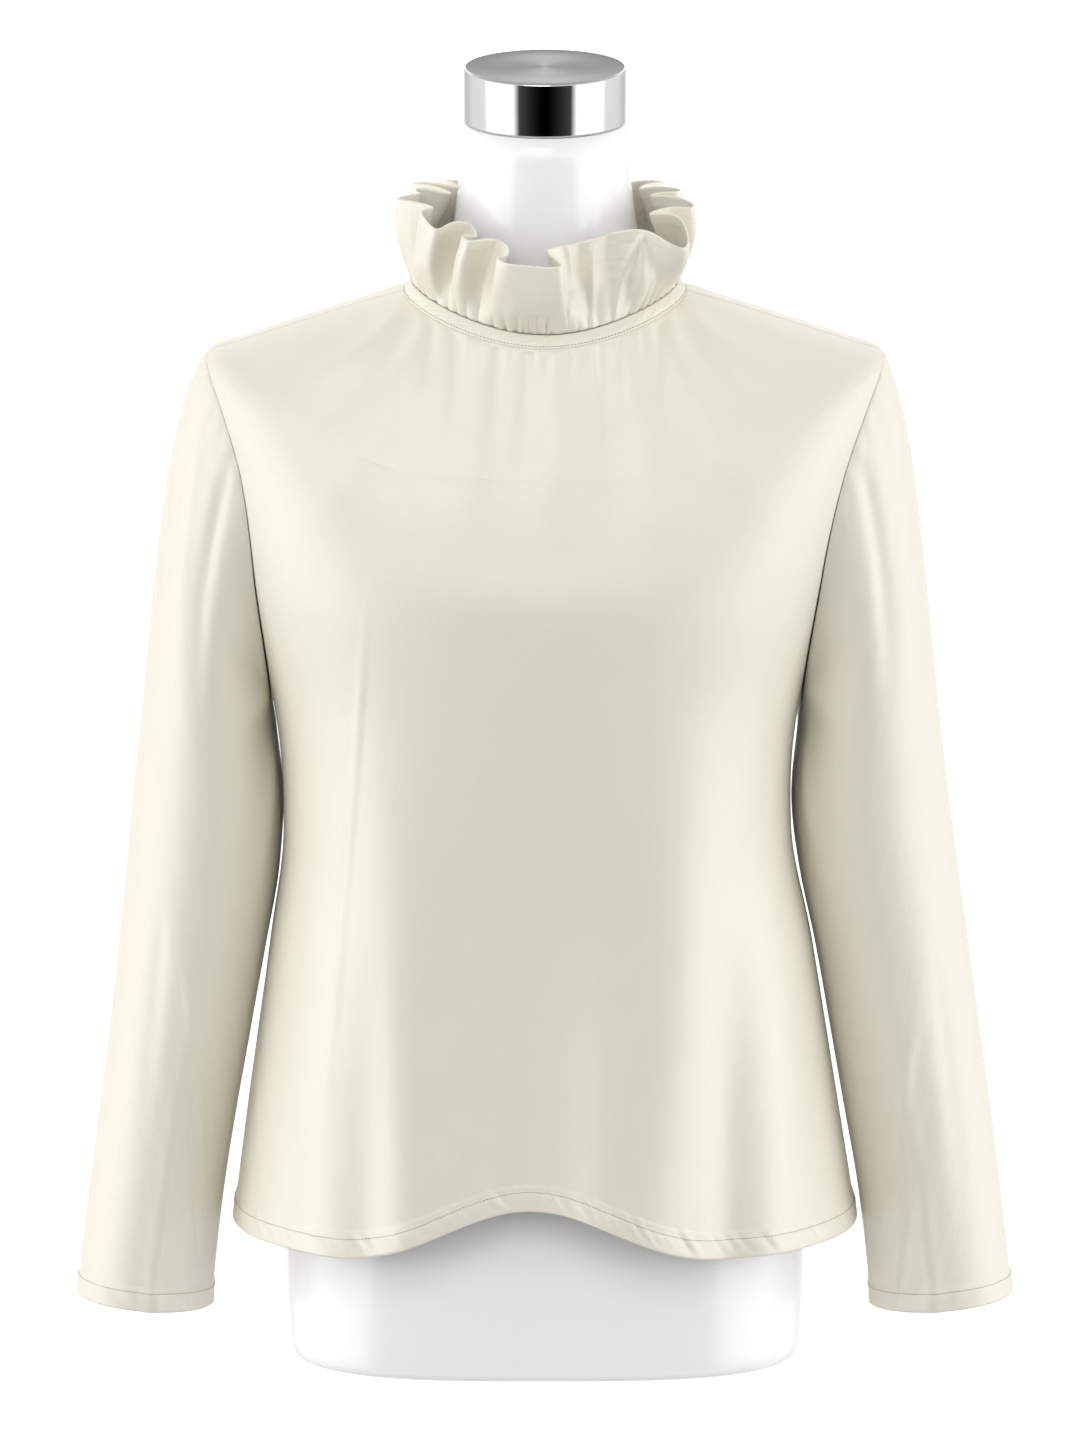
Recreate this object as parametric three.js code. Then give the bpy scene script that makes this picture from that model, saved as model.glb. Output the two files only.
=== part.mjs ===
// Ruffle neck blouse, worn by a limbless dress form.
// Millimetres, +Z up. The wearer faces -Y, and the wearer's left is +X.
// The blouse is sewn cloth: a front, a back slit at its centre, two set-in sleeves, a neck
// binding and a gathered ruffle, with one button and its loop at the slit.
import * as THREE from 'three';

// ---------------------------------------------------------------- driving dimensions
const PANEL_WALL = 1.4; // cloth of the front, back and sleeves
const HEM_WALL = 2.2; // the same cloth where it is turned up
const RUFFLE_WALL = 1.0;
const BINDING_WALL = 2.0;
const RUFFLE_SEAT = 1.0; // height of the ruffle's gathered edge over the neck seam
const SEAM_GAP = 0.3;
const LAP_GAP = 1.1; // sleeve seam lapping the panel at the underarm
const SLIT_WIDTH = 3.2; // centre back opening under the binding
const SLIT_AT = 0.19; // how far down the back it ends, neck 0 to hem 1
const RUFFLE_WIDTH = 54;
const RUFFLE_GATHERS = 64;
const NECK_GATHERS = 17; // small gathers of the front under the binding
const CAP_RADIUS = 49.6;
const CAP_HEIGHT = 34;
const NECK_TOP_Z = 759.7;
const BUTTON = { radius: 3.8, thick: 2.2, fromCentre: 5.8, down: 0.57 };
const LOOP_THREAD = 0.55; // radius of the corded thread loop

const CLOTH = { color: 0xf1ede1, roughness: 0.62, metalness: 0 };
const FORM = { color: 0xf4f5f6, roughness: 0.16, metalness: 0 };
const CHROME = { color: 0xd2d3d5, roughness: 0.12, metalness: 1 };
const PEARL = { color: 0xece7db, roughness: 0.25, metalness: 0 };

// A table: its column names in one string, then a row of values for each section or fold.
function table(columns, rows) {
  const names = columns.split(' ');
  return rows.map((row) => Object.fromEntries(names.map((name, i) => [name, row[i]])));
}

// Sections of the body from neck (at 0) to hem (at 1). side, front and back are half sizes from
// the centre line, square is the superellipse power, and sideZ, frontZ and backZ are heights.
// dip says how fast a section leaves its side height on the way to the centre.
const BODY_RINGS = table('at side front back square sideZ frontZ backZ dip', [
  [0.0, 85.5, 76.0, 68.5, 2.1, 655.0, 635.5, 646, 2.0],
  [0.05, 110, 84, 79, 2.1, 648, 619, 636, 2.6],
  [0.11, 152, 96, 91, 2.15, 634.5, 596, 617, 3.6],
  [0.16, 185, 105, 98, 2.15, 623.5, 578, 601, 4.8],
  [0.2, 204, 112, 102, 2.2, 616.5, 563, 587, 5.6],
  [0.24, 205, 119, 105, 2.3, 598, 546, 570, 5.0],
  [0.29, 199, 127, 107, 2.4, 567, 523, 548, 4.2],
  [0.38, 185, 137, 107, 2.45, 492, 482, 503, 3.2],
  [0.48, 164, 131, 102, 2.4, 402, 427, 438, 2.4],
  [0.6, 157.8, 125, 98.5, 2.35, 326, 345, 346, 2.0],
  [0.74, 166, 123, 104, 2.35, 252, 257, 257, 2.0],
  [0.88, 179.4, 126, 115, 2.35, 152, 154, 154, 2.0],
  [1.0, 188.3, 130, 122, 2.35, 80.5, 80.5, 80.5, 2.0],
]);
// Reach of the body's left side as a share of the right side's: it is taken in more at the waist.
const LEFT_SIDE = table('at share', [
  [0.0, 1],
  [0.2, 1],
  [0.29, 0.985],
  [0.38, 0.952],
  [0.48, 0.936],
  [0.6, 0.941],
  [0.74, 0.972],
  [0.88, 0.987],
  [1.0, 1],
]);
const TIP_AT = 0.2; // where the armhole starts at the shoulder tip
const UNDERARM_AT = 0.48;
const ARMHOLE_DIP = { front: 19.5, back: 15 }; // degrees the armhole cuts into each panel
const HEM_RISE = { height: 33, halfWidth: 118, centre: -8, from: 0.62 };

// Drape of the front and back below the bust: soft ridges (+) and hollows (-) along straight
// lines from (topX, topZ) to (hemX, at the hem), deepest at the hem.
const FRONT_FOLDS = table('name topX topZ hemX width height', [
  ['right side ridge', -108, 470, -142, 17, 8],
  ['right side hollow', -84, 420, -106, 14, -6],
  ['right minor ridge', -62, 330, -78, 15, 5],
  ['centre hollow', -22, 500, -30, 36, -8],
  ['left centre ridge', 46, 440, 66, 20, 7],
  ['left hollow', 80, 430, 96, 14, -6],
  ['left side ridge', 106, 465, 132, 17, 8],
  ['left side hollow', 132, 330, 160, 11, -4],
]);
const BACK_FOLDS = table('name topX topZ hemX width height', [
  ['right back ridge', -92, 440, -128, 20, 7],
  ['right back hollow', -58, 400, -82, 17, -4],
  ['right centre ridge', -24, 380, -36, 19, 6],
  ['centre back hollow', 6, 430, 10, 20, -4],
  ['left centre ridge', 40, 400, 54, 21, 6],
  ['left back hollow', 72, 370, 96, 17, -4],
  ['left back ridge', 98, 430, 138, 18, 7],
]);

// Hanging part of the sleeves from biceps to cuff. inner and outer are distances of the two
// edges from the body's centre line, for the wearer's right and left sleeve. tilt turns the
// section so that its outer edge sits higher.
const SLEEVE_RINGS = table('at rightIn rightOut leftIn leftOut y z halfDepth tilt', [
  [0.0, 165.4, 245.0, 155.6, 239.5, 1, 385, 60, 1],
  [0.13, 160.9, 249.5, 151.7, 244.5, 2, 340, 57, 2],
  [0.24, 163.0, 253.0, 155.4, 249.5, 2, 301, 54, 3],
  [0.38, 170.2, 257.8, 164.8, 256.0, 2, 252, 51, 4],
  [0.52, 178.6, 263.0, 173.4, 262.6, 1, 202, 48, 4],
  [0.66, 187.4, 269.3, 182.0, 269.4, 0, 152, 45, 4],
  [0.8, 195.2, 275.6, 190.6, 275.6, -1, 102, 43, 4.3],
  [0.93, 200.9, 281.6, 196.4, 281.2, -2, 52, 41, 4.3],
  [1.0, 202.6, 283.6, 198.2, 283.4, -2, 30, 40.4, 4.3],
]);
// Direction in which each sleeve leaves its seam, in degrees below level, round the armhole from
// the shoulder (0) over the front (90) to the underarm (180) and up the back.
const SLEEVE_START = table('round right left', [
  [0, 56, 64],
  [60, 48, 54],
  [110, 56, 60],
  [180, 92, 92],
  [250, 56, 60],
  [300, 48, 54],
  [360, 56, 64],
]);
const SLEEVE_PULL = { start: 0.6, end: 0.95 }; // how stiffly the head holds its two directions
const SLEEVE_CREASE = { round: 96, width: 9, height: 1.6, from: 0.3 };

// Neck seam, where the ruffle stands on the binding.
const NECK_SEAM = {
  side: 80.6, front: 69.5, back: 62, square: 2.1, sideZ: 662.5, frontZ: 643, backZ: 653, dip: 2,
};

// Free edge of the ruffle, one row for each bend from centre back over the wearer's right
// (-X), the front and the left to centre back. seam is the place on the neck seam in degrees
// from centre front; x and y say where the free edge lies.
const RUFFLE_BENDS = table('seam x y', [
  [-178.6, -1.8, 63], [-174, -8, 71], [-168, -14, 69], [-162, -18, 56],
  [-156, -25, 57], [-151, -29, 71], [-146, -38, 68], [-141, -37, 49],
  [-135, -44, 45], [-130, -56, 60], [-125, -64, 52], [-121, -52, 35],
  [-116, -58, 30], [-111, -76, 35], [-107, -79, 28], [-103, -58, 18],
  [-98, -62, 11], [-94, -76, 9], [-90, -78, 2], [-86, -76, -5],
  [-81, -89, -13], [-77, -81, -21], [-73, -68, -29], [-70, -74.5, -37],
  [-64, -70, -53], [-58, -64, -59], [-53.5, -54, -46], [-50, -45.5, -42],
  [-48, -41.5, -61], [-45.5, -49.5, -64.5], [-42, -45, -70.5], [-37, -33, -63],
  [-33, -28, -62], [-30, -23, -71], [-27, -22.5, -83.5], [-24.5, -28.5, -87],
  [-20, -22.5, -92], [-9, -8, -94], [3, 3, -95], [9.5, 9.5, -92.5],
  [12, 1.6, -76], [17, 12, -65], [26, 28, -61.5], [35, 42, -57],
  [43, 53, -58], [50, 63, -62], [57, 74, -70], [63, 84, -70.5],
  [68, 86, -60], [72, 80, -43], [75, 63.5, -38], [78, 74, -31.5],
  [81, 88.5, -29], [85, 86.5, -19], [90, 66, -3], [94, 66, 3],
  [98, 79, -0.5], [102, 81, 8], [107, 67, 20], [112, 58, 24],
  [118, 60, 31], [124, 72, 40], [129, 63, 50], [134, 45, 41],
  [140, 42, 47], [146, 46, 66], [151, 37, 70], [157, 30, 55],
  [163, 22, 57], [168, 17, 71], [174, 8, 72], [178.6, 1.8, 63],
]);
// Tucks that start at the seam and close before the free edge.
const RUFFLE_TUCKS = table('seam width height reach', [
  [-112, 4, 2.5, 0.7],
  [-66, 4, 2.6, 0.6],
  [-14, 5, 2.2, 0.55],
  [15, 3.5, 3.2, 0.5],
  [24, 3.5, -3, 0.6],
  [45, 5.5, 4.2, 0.85],
  [122, 4, 2.6, 0.65],
  [160, 4, 2.4, 0.6],
]);

// Dress form, from its flat underside up to the neck top, with the same columns as the body.
// In the shoulders each section lies just under the cloth.
const FORM_RINGS = table('at side front back square sideZ frontZ backZ dip', [
  [0.0, 147, 100, 97, 3.2, 0, 0, 0, 2],
  [0.02, 153, 105, 102, 3.2, 2.4, 2.4, 2.4, 2],
  [0.05, 156.4, 107.5, 104.5, 3.2, 9, 9, 9, 2],
  [0.08, 157.6, 108, 105.5, 3.1, 24, 24, 24, 2],
  [0.14, 158.4, 107.5, 105.5, 2.9, 60, 60, 60, 2],
  [0.24, 155, 103, 101, 2.6, 130, 130, 130, 2],
  [0.34, 142, 100, 91, 2.35, 215, 215, 215, 2],
  [0.43, 134, 101, 84, 2.3, 300, 300, 300, 2],
  [0.52, 142, 113, 90, 2.3, 380, 385, 385, 2],
  [0.61, 156, 127, 98, 2.35, 462, 465, 470, 2],
  [0.7, 180, 118, 99, 2.35, 545, 523, 540, 3.2],
  [0.76, 193, 107, 95, 2.2, 588, 552, 570, 4.6],
  [0.8, 191, 100, 91, 2.15, 609, 568, 588, 5.0],
  [0.83, 172, 95, 87, 2.15, 620, 580, 602, 4.4],
  [0.87, 144, 87, 81, 2.15, 631, 597, 617, 3.6],
  [0.91, 106, 75, 69, 2.1, 645, 620, 636, 2.6],
  [0.94, 76, 64, 58, 2.05, 658, 641, 652, 2.0],
  [0.965, 59.5, 56, 53.5, 2.0, 681, 672, 678, 2.0],
  [0.985, 53, 52.5, 51.5, 2.0, 716, 714, 715, 2.0],
  [1.0, 49.6, 49.6, 49.6, 2.0, NECK_TOP_Z, NECK_TOP_Z, NECK_TOP_Z, 2],
]);

// ---------------------------------------------------------------- small maths
const DEG = Math.PI / 180;
const clamp01 = (v) => Math.min(1, Math.max(0, v));
const mix = (a, b, t) => a + (b - a) * t;
const smooth = (low, high, v) => {
  const t = clamp01((v - low) / (high - low));
  return t * t * (3 - 2 * t);
};
const bell = (offset, width) => Math.exp(-((offset / width) ** 2));

// Reads one column of a table along another, as a smooth curve through its rows.
function readTable(table, key, column, value) {
  const last = table.length - 1;
  let i = 0;
  while (i < last - 1 && value > table[i + 1][key]) i += 1;
  const span = (k) => table[k + 1][key] - table[k][key];
  const rise = (k) => (table[k + 1][column] - table[k][column]) / span(k);
  const slope = (k) => {
    if (k === 0) return rise(0);
    if (k === last) return rise(last - 1);
    const before = span(k - 1);
    const after = span(k);
    return (rise(k - 1) * after + rise(k) * before) / (before + after);
  };
  const h = span(i);
  const t = clamp01((value - table[i][key]) / h);
  const t2 = t * t;
  const t3 = t2 * t;
  return (2 * t3 - 3 * t2 + 1) * table[i][column] + (t3 - 2 * t2 + t) * h * slope(i)
    + (3 * t2 - 2 * t3) * table[i + 1][column] + (t3 - t2) * h * slope(i + 1);
}

// Point of a superellipse section at an angle round the body, measured from centre front
// towards the wearer's left.
function sectionPoint(section, around) {
  const s = Math.sin(around * DEG);
  const c = Math.cos(around * DEG);
  const depth = c > 0 ? section.front : section.back;
  const centreZ = c > 0 ? section.frontZ : section.backZ;
  const power = section.square;
  const reach = (Math.abs(s / section.side) ** power + Math.abs(c / depth) ** power) ** (-1 / power);
  const z = mix(centreZ, section.sideZ, Math.abs(s) ** section.dip);
  return new THREE.Vector3(reach * s, -reach * c, z);
}

const RING_COLUMNS = ['side', 'front', 'back', 'square', 'sideZ', 'frontZ', 'backZ', 'dip'];
function sectionAt(table, at) {
  return Object.fromEntries(RING_COLUMNS.map((column) => [column, readTable(table, 'at', column, at)]));
}

// Unit normal of a surface(u, v) by small steps; it points along dv x du.
function surfaceNormal(surface, u, v, stepU, stepV, limitV = [-Infinity, Infinity]) {
  const v0 = Math.max(limitV[0], v - stepV);
  const v1 = Math.min(limitV[1], v + stepV);
  const du = surface(u + stepU, v).sub(surface(u - stepU, v));
  const dv = surface(u, v1).sub(surface(u, v0));
  return dv.cross(du).normalize();
}

// ---------------------------------------------------------------- meshes from rows of points
// Joins two neighbouring rows, whose points need not pair up, with triangles.
function joinRows(above, below, faces) {
  let i = 0;
  let j = 0;
  while (i < above.length - 1 || j < below.length - 1) {
    const aboveNext = i < above.length - 1 ? above[i + 1].key : Infinity;
    const belowNext = j < below.length - 1 ? below[j + 1].key : Infinity;
    if (aboveNext <= belowNext) {
      faces.push([above[i].id, below[j].id, above[i + 1].id]);
      i += 1;
    } else {
      faces.push([above[i].id, below[j].id, below[j + 1].id]);
      j += 1;
    }
  }
}

function geometryFrom(points, faces) {
  const geometry = new THREE.BufferGeometry();
  const corners = faces.flatMap((face) => face.flatMap((id) => points[id].toArray()));
  geometry.setAttribute('position', new THREE.Float32BufferAttribute(corners, 3));
  geometry.computeVertexNormals();
  return geometry;
}

// Cloth wall round a sheet of points, each with its normal and wall thickness. Every free edge
// of the sheet is closed by a narrow face.
function clothWall(sheet, faces) {
  const count = sheet.length;
  const outer = sheet.map((p) => p.point.clone().addScaledVector(p.normal, p.wall / 2));
  const inner = sheet.map((p) => p.point.clone().addScaledVector(p.normal, -p.wall / 2));
  const edges = new Set(faces.flatMap(([a, b, c]) => [`${a},${b}`, `${b},${c}`, `${c},${a}`]));
  const all = [...faces];
  for (const [a, b, c] of faces) all.push([c + count, b + count, a + count]);
  for (const edge of edges) {
    const [a, b] = edge.split(',').map(Number);
    if (edges.has(`${b},${a}`)) continue;
    all.push([b, a, a + count], [b, a + count, b + count]);
  }
  return geometryFrom([...outer, ...inner], all);
}

// Gives each point of the rows its number in one sheet. Points at one place share a number.
function numberRows(rows) {
  const sheet = [];
  const known = new Map();
  for (const row of rows) {
    for (const p of row) {
      const place = p.point.toArray().map((v) => Math.round(v * 1000)).join();
      if (!known.has(place)) {
        known.set(place, sheet.length);
        sheet.push(p);
      }
      p.id = known.get(place);
    }
  }
  return sheet;
}

// Closed body through rings of points, with a flat face at each end.
function solidFromRings(rings) {
  const points = rings.flat();
  const size = rings[0].length;
  const faces = [];
  for (let r = 0; r < rings.length - 1; r += 1) {
    for (let i = 0; i < size; i += 1) {
      const a = r * size + i;
      const b = r * size + ((i + 1) % size);
      faces.push([a, b, b + size], [a, b + size, a + size]);
    }
  }
  const centreOf = (ring) => ring.reduce((sum, p) => sum.add(p), new THREE.Vector3()).divideScalar(size);
  const bottom = points.push(centreOf(rings[0])) - 1;
  const top = points.push(centreOf(rings[rings.length - 1])) - 1;
  const lastRing = (rings.length - 1) * size;
  for (let i = 0; i < size; i += 1) {
    const next = (i + 1) % size;
    faces.push([bottom, next, i], [top, lastRing + i, lastRing + next]);
  }
  return geometryFrom(points, faces);
}

// ---------------------------------------------------------------- body of the blouse
function foldHeight(folds, x, z, hemZ) {
  return folds.reduce((sum, fold) => {
    const down = clamp01((fold.topZ - z) / (fold.topZ - hemZ));
    const line = mix(fold.topX, fold.hemX, down);
    return sum + fold.height * smooth(0, 0.75, down) * bell(x - line, fold.width);
  }, 0);
}

// Small gathers, deepest just under the binding at the centre and gone below the collar bones.
function gatherHeight(around, at) {
  const front = Math.cos(around * DEG) > 0;
  const off = front ? around : 180 - Math.abs(around);
  const wave = Math.sin(off * DEG * (360 / 115) * NECK_GATHERS / 2 + 1.3 * Math.sin(off * DEG * 3));
  const middle = 1 - smooth(42, 72, Math.abs(off));
  return (front ? 1.7 : 1.1) * wave * middle * smooth(0, 0.016, at) * (1 - smooth(0.02, 0.12, at));
}

function plainBody(around, at) {
  const point = sectionPoint(sectionAt(BODY_RINGS, at), around);
  if (point.x > 0) point.x *= readTable(LEFT_SIDE, 'at', 'share', at);
  return point;
}

function bodyPoint(around, at) {
  const point = plainBody(around, at);
  const normal = surfaceNormal(plainBody, around, at, 0.5, 0.004, [0, 1]);
  const front = Math.cos(around * DEG) > 0;
  const seamFade = smooth(0, 0.16, Math.abs(Math.cos(around * DEG)));
  const folds = front ? FRONT_FOLDS : BACK_FOLDS;
  const drape = foldHeight(folds, point.x, point.z, 80.5) * seamFade;
  point.addScaledVector(normal, drape + gatherHeight(around, at));
  if (front) {
    const off = clamp01(Math.abs(point.x - HEM_RISE.centre) / HEM_RISE.halfWidth);
    point.z += HEM_RISE.height * Math.cos(off * Math.PI / 2) ** 2 * smooth(HEM_RISE.from, 1, at);
  }
  return point;
}

const bodyNormal = (around, at) => surfaceNormal(bodyPoint, around, at, 0.3, 0.002, [0, 1]);

// Angle from centre front or centre back at which a panel ends: the side, or the armhole.
function panelEdge(at, dipDegrees) {
  const u = clamp01((at - TIP_AT) / (UNDERARM_AT - TIP_AT));
  return 90 - dipDegrees * Math.sin(Math.PI * u) ** 0.5;
}

// Angle from the centre line at a share of the way across: only the outer half gives way.
function panelAngle(across, at, dipDegrees) {
  return 90 * across - (90 - panelEdge(at, dipDegrees)) * Math.max(0, 2 * across - 1) ** 2;
}

const ARMHOLE_STEPS = 10;
const armholeAt = (round) => mix(TIP_AT, UNDERARM_AT, (1 - Math.cos(round * DEG)) / 2);

// Rows of a panel: yoke, armhole, then side to hem, each with its number of steps across.
function panelRows(steps) {
  const yokeAts = [0, 0.014, 0.034, 0.064, 0.104, 0.15];
  const skirtAts = [0.53, 0.58, 0.64, 0.7, 0.76, 0.82, 0.88, 0.93, 0.974, 1];
  const yoke = yokeAts.map((at, i) => ({ at, steps: i < 4 ? steps.neck : steps.chest }));
  const armhole = [];
  for (let k = 0; k <= ARMHOLE_STEPS; k += 1) {
    armhole.push({ at: armholeAt(180 * k / ARMHOLE_STEPS), steps: k < 3 ? steps.chest : steps.body });
  }
  const skirt = skirtAts.map((at) => ({ at, steps: steps.body }));
  return [...yoke, ...armhole, ...skirt];
}

// Half of a panel, from its centre line (across 0) to its seam (across 1).
// centre is 0 for the front and 180 for the back; hand is -1 or 1 for the side of the body.
function halfPanel(row, centre, hand, dipDegrees, slitHalf) {
  const half = row.steps / 2;
  const facing = centre === 0 ? -1 : 1;
  const points = [];
  for (let i = 0; i <= half; i += 1) {
    const across = i / half;
    const off = panelAngle(across, row.at, dipDegrees);
    const around = centre === 0 ? hand * off : hand * (180 - off);
    const point = bodyPoint(around, row.at);
    const normal = bodyNormal(around, row.at);
    const inArmhole = row.at > TIP_AT + 1e-6 && row.at < UNDERARM_AT - 1e-6;
    if (i === half && !inArmhole) {
      normal.setY(0).normalize();
      point.y = facing * SEAM_GAP / 2;
    }
    if (i === 0 && slitHalf > 0) point.x = hand * slitHalf;
    const wall = row.at > 0.97 ? HEM_WALL : PANEL_WALL;
    points.push({ key: across, point, normal, wall });
  }
  return points;
}

function panel(centre, steps, dipDegrees) {
  const rows = panelRows(steps);
  const slitHalf = (at) => (centre === 180 ? (SLIT_WIDTH / 2) * Math.sqrt(clamp01(1 - at / SLIT_AT)) : 0);
  const halfRow = (row, hand) => halfPanel(row, centre, hand, dipDegrees, slitHalf(row.at));
  const halves = [-1, 1].map((hand) => rows.map((row) => halfRow(row, hand)));
  const sheet = numberRows(halves.flat());
  const faces = [];
  halves.forEach((half, side) => {
    const flip = (side === 0) === (centre === 0);
    for (let r = 0; r < half.length - 1; r += 1) {
      const strip = [];
      joinRows(half[r], half[r + 1], strip);
      faces.push(...(flip ? strip.map(([a, b, c]) => [a, c, b]) : strip));
    }
  });
  return clothWall(sheet, faces);
}

// ---------------------------------------------------------------- sleeves
const EDGE_STEP = 1.2; // degrees back from the armhole, to find which way its panel runs

// Seam of a sleeve on the armhole. round goes from the shoulder (0) over the front (90) and the
// underarm (180) up the back. Returns the seam point and the normal that its wall starts with.
function armholeSeam(round, hand) {
  const front = round <= 180;
  const at = armholeAt(front ? round : 360 - round);
  const edge = panelEdge(at, front ? ARMHOLE_DIP.front : ARMHOLE_DIP.back);
  const around = (angle) => hand * (front ? angle : 180 - angle);
  const point = bodyPoint(around(edge), at);
  const normal = bodyNormal(around(edge), at);
  const ends = Math.abs(Math.sin(round * DEG)) < 1e-6;
  if (ends) {
    point.y = 0;
    normal.setY(0).normalize();
  }
  const beside = armholeEdgePoint(round - 4, hand).sub(armholeEdgePoint(round + 4, hand));
  const outward = beside.cross(normal).normalize();
  const inside = bodyPoint(around(edge - EDGE_STEP), at);
  if (!ends && outward.dot(point.clone().sub(inside)) < 0) outward.negate();
  if (ends) outward.copy(round > 90 && round < 270 ? new THREE.Vector3(0, 0, 1) : shoulderRun(hand));
  return { point, normal, outward };
}

function armholeEdgePoint(round, hand) {
  const turn = (round + 360) % 360;
  const front = turn <= 180;
  const at = armholeAt(front ? turn : 360 - turn);
  const edge = panelEdge(at, front ? ARMHOLE_DIP.front : ARMHOLE_DIP.back);
  return bodyPoint(hand * (front ? edge : 180 - edge), at);
}

// Way the shoulder seam runs where it meets the sleeve.
function shoulderRun(hand) {
  return bodyPoint(hand * 90, TIP_AT).sub(bodyPoint(hand * 90, TIP_AT - 0.01)).normalize();
}

function sleeveSection(round, at, hand) {
  const read = (column) => readTable(SLEEVE_RINGS, 'at', column, at);
  const inner = read(hand < 0 ? 'rightIn' : 'leftIn');
  const outer = read(hand < 0 ? 'rightOut' : 'leftOut');
  const tilt = read('tilt') * DEG;
  const across = Math.cos(round * DEG) * (outer - inner) / 2;
  const crease = SLEEVE_CREASE.height * bell(round - SLEEVE_CREASE.round, SLEEVE_CREASE.width)
    * smooth(SLEEVE_CREASE.from, 1, at);
  return new THREE.Vector3(
    hand * ((inner + outer) / 2 + across * Math.cos(tilt)),
    read('y') - Math.sin(round * DEG) * (read('halfDepth') + crease),
    read('z') + across * Math.sin(tilt),
  );
}

function sleeveStart(round, hand) {
  const below = readTable(SLEEVE_START, 'round', hand < 0 ? 'right' : 'left', round) * DEG;
  return new THREE.Vector3(hand * Math.cos(below), 0, -Math.sin(below));
}

// Start of the sleeve cloth: beside the panel's edge at the shoulder, on top of it underarm.
function sleeveSeamPoint(round, hand) {
  const { point, normal, outward } = armholeSeam(round, hand);
  const turn = sleeveStart(round, hand).dot(outward);
  return point.addScaledVector(normal, (PANEL_WALL + LAP_GAP) * (1 - turn) / 2)
    .addScaledVector(outward, SEAM_GAP * (1 + turn));
}

// down runs from -1 at the armhole through 0 at the biceps to 1 at the cuff.
function sleevePoint(round, down, hand) {
  const turn = (round + 360) % 360;
  if (down >= 0) return sleeveSection(turn, down, hand);
  const t = down + 1;
  const start = sleeveSeamPoint(turn, hand);
  const end = sleeveSection(turn, 0, hand);
  const reach = start.distanceTo(end);
  const pullStart = sleeveStart(turn, hand).multiplyScalar(reach * SLEEVE_PULL.start);
  const onwards = sleeveSection(turn, 0.02, hand).sub(end).normalize();
  const pullEnd = onwards.multiplyScalar(reach * SLEEVE_PULL.end);
  const t2 = t * t;
  const t3 = t2 * t;
  return start.multiplyScalar(2 * t3 - 3 * t2 + 1).addScaledVector(pullStart, t3 - 2 * t2 + t)
    .addScaledVector(end, 3 * t2 - 2 * t3).addScaledVector(pullEnd, t3 - t2);
}

function sleeve(hand) {
  const downs = [-1, -0.9, -0.78, -0.62, -0.44, -0.24, 0, 0.16, 0.32, 0.48, 0.64, 0.8, 0.945, 1];
  const surface = (round, down) => sleevePoint(round, down, hand);
  const steps = 2 * ARMHOLE_STEPS;
  const rows = downs.map((down) => {
    const row = [];
    for (let i = 0; i <= steps; i += 1) {
      const round = (i % steps) * 360 / steps;
      const normal = surfaceNormal(surface, round, down, 2, 0.01, [-1, 1]).multiplyScalar(-hand);
      const wall = down > 0.94 ? HEM_WALL : PANEL_WALL;
      row.push({ key: i / steps, point: surface(round, down), normal, wall });
    }
    return row;
  });
  const sheet = numberRows(rows);
  const faces = [];
  for (let r = 0; r < rows.length - 1; r += 1) joinRows(rows[r], rows[r + 1], faces);
  return clothWall(sheet, hand > 0 ? faces.map(([a, b, c]) => [a, c, b]) : faces);
}

// ---------------------------------------------------------------- neck
const NECK_OPENING = 1.4; // degrees left open each side of centre back

function neckRing(around, down) {
  const seam = sectionPoint(NECK_SEAM, around);
  const body = bodyPoint(around, 0);
  return seam.lerp(body, down);
}

// Binding between the ruffle and the body, split at centre back.
function binding() {
  const steps = 60;
  const surface = (around, down) => neckRing(around, down);
  const rows = [0.04, 0.925].map((down) => {
    const row = [];
    for (let i = 0; i <= steps; i += 1) {
      const around = mix(-180 + NECK_OPENING, 180 - NECK_OPENING, i / steps);
      const normal = surfaceNormal(surface, around, down, 1, 0.02);
      row.push({ key: i / steps, point: surface(around, down), normal, wall: BINDING_WALL });
    }
    return row;
  });
  const sheet = numberRows(rows);
  const faces = [];
  joinRows(rows[0], rows[1], faces);
  return clothWall(sheet, faces);
}

const RUFFLE_ROWS = RUFFLE_BENDS.map((bend, index) => ({ ...bend, index }));
const LAST_BEND = RUFFLE_ROWS.length - 1;

// Point of the ruffle. along counts the bends of its free edge; up runs from seam 0 to edge 1.
function rufflePoint(along, up) {
  const seamAngle = readTable(RUFFLE_ROWS, 'index', 'seam', along);
  const x = readTable(RUFFLE_ROWS, 'index', 'x', along);
  const y = readTable(RUFFLE_ROWS, 'index', 'y', along);
  const base = sectionPoint(NECK_SEAM, seamAngle);
  const edgeAngle = Math.atan2(x, -y) / DEG;
  const under = sectionPoint(NECK_SEAM, edgeAngle);
  const lean = Math.hypot(x, y) - Math.hypot(under.x, under.y);
  const rise = Math.sqrt(RUFFLE_WIDTH ** 2 - lean ** 2);
  const outwards = new THREE.Vector3(Math.sin(seamAngle * DEG), -Math.cos(seamAngle * DEG), 0);
  const turned = mix(up, up * up * (3 - 2 * up), 0.4);
  const z = mix(base.z, under.z, turned) + mix(RUFFLE_SEAT, rise, up);
  const point = new THREE.Vector3(mix(base.x, x, turned), mix(base.y, y, turned), z);
  const bulge = (2.6 + 2.4 * Math.tanh(lean / 8)) * Math.sin(Math.PI * up);
  const gather = 1.5 * Math.sin(seamAngle * DEG * RUFFLE_GATHERS) * (1 - smooth(0.05, 0.5, up));
  const tucks = RUFFLE_TUCKS.reduce((sum, tuck) => sum + tuck.height * bell(seamAngle - tuck.seam, tuck.width)
    * Math.sin(Math.PI * clamp01(up / tuck.reach)), 0);
  return point.addScaledVector(outwards, bulge + gather + tucks);
}

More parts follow.
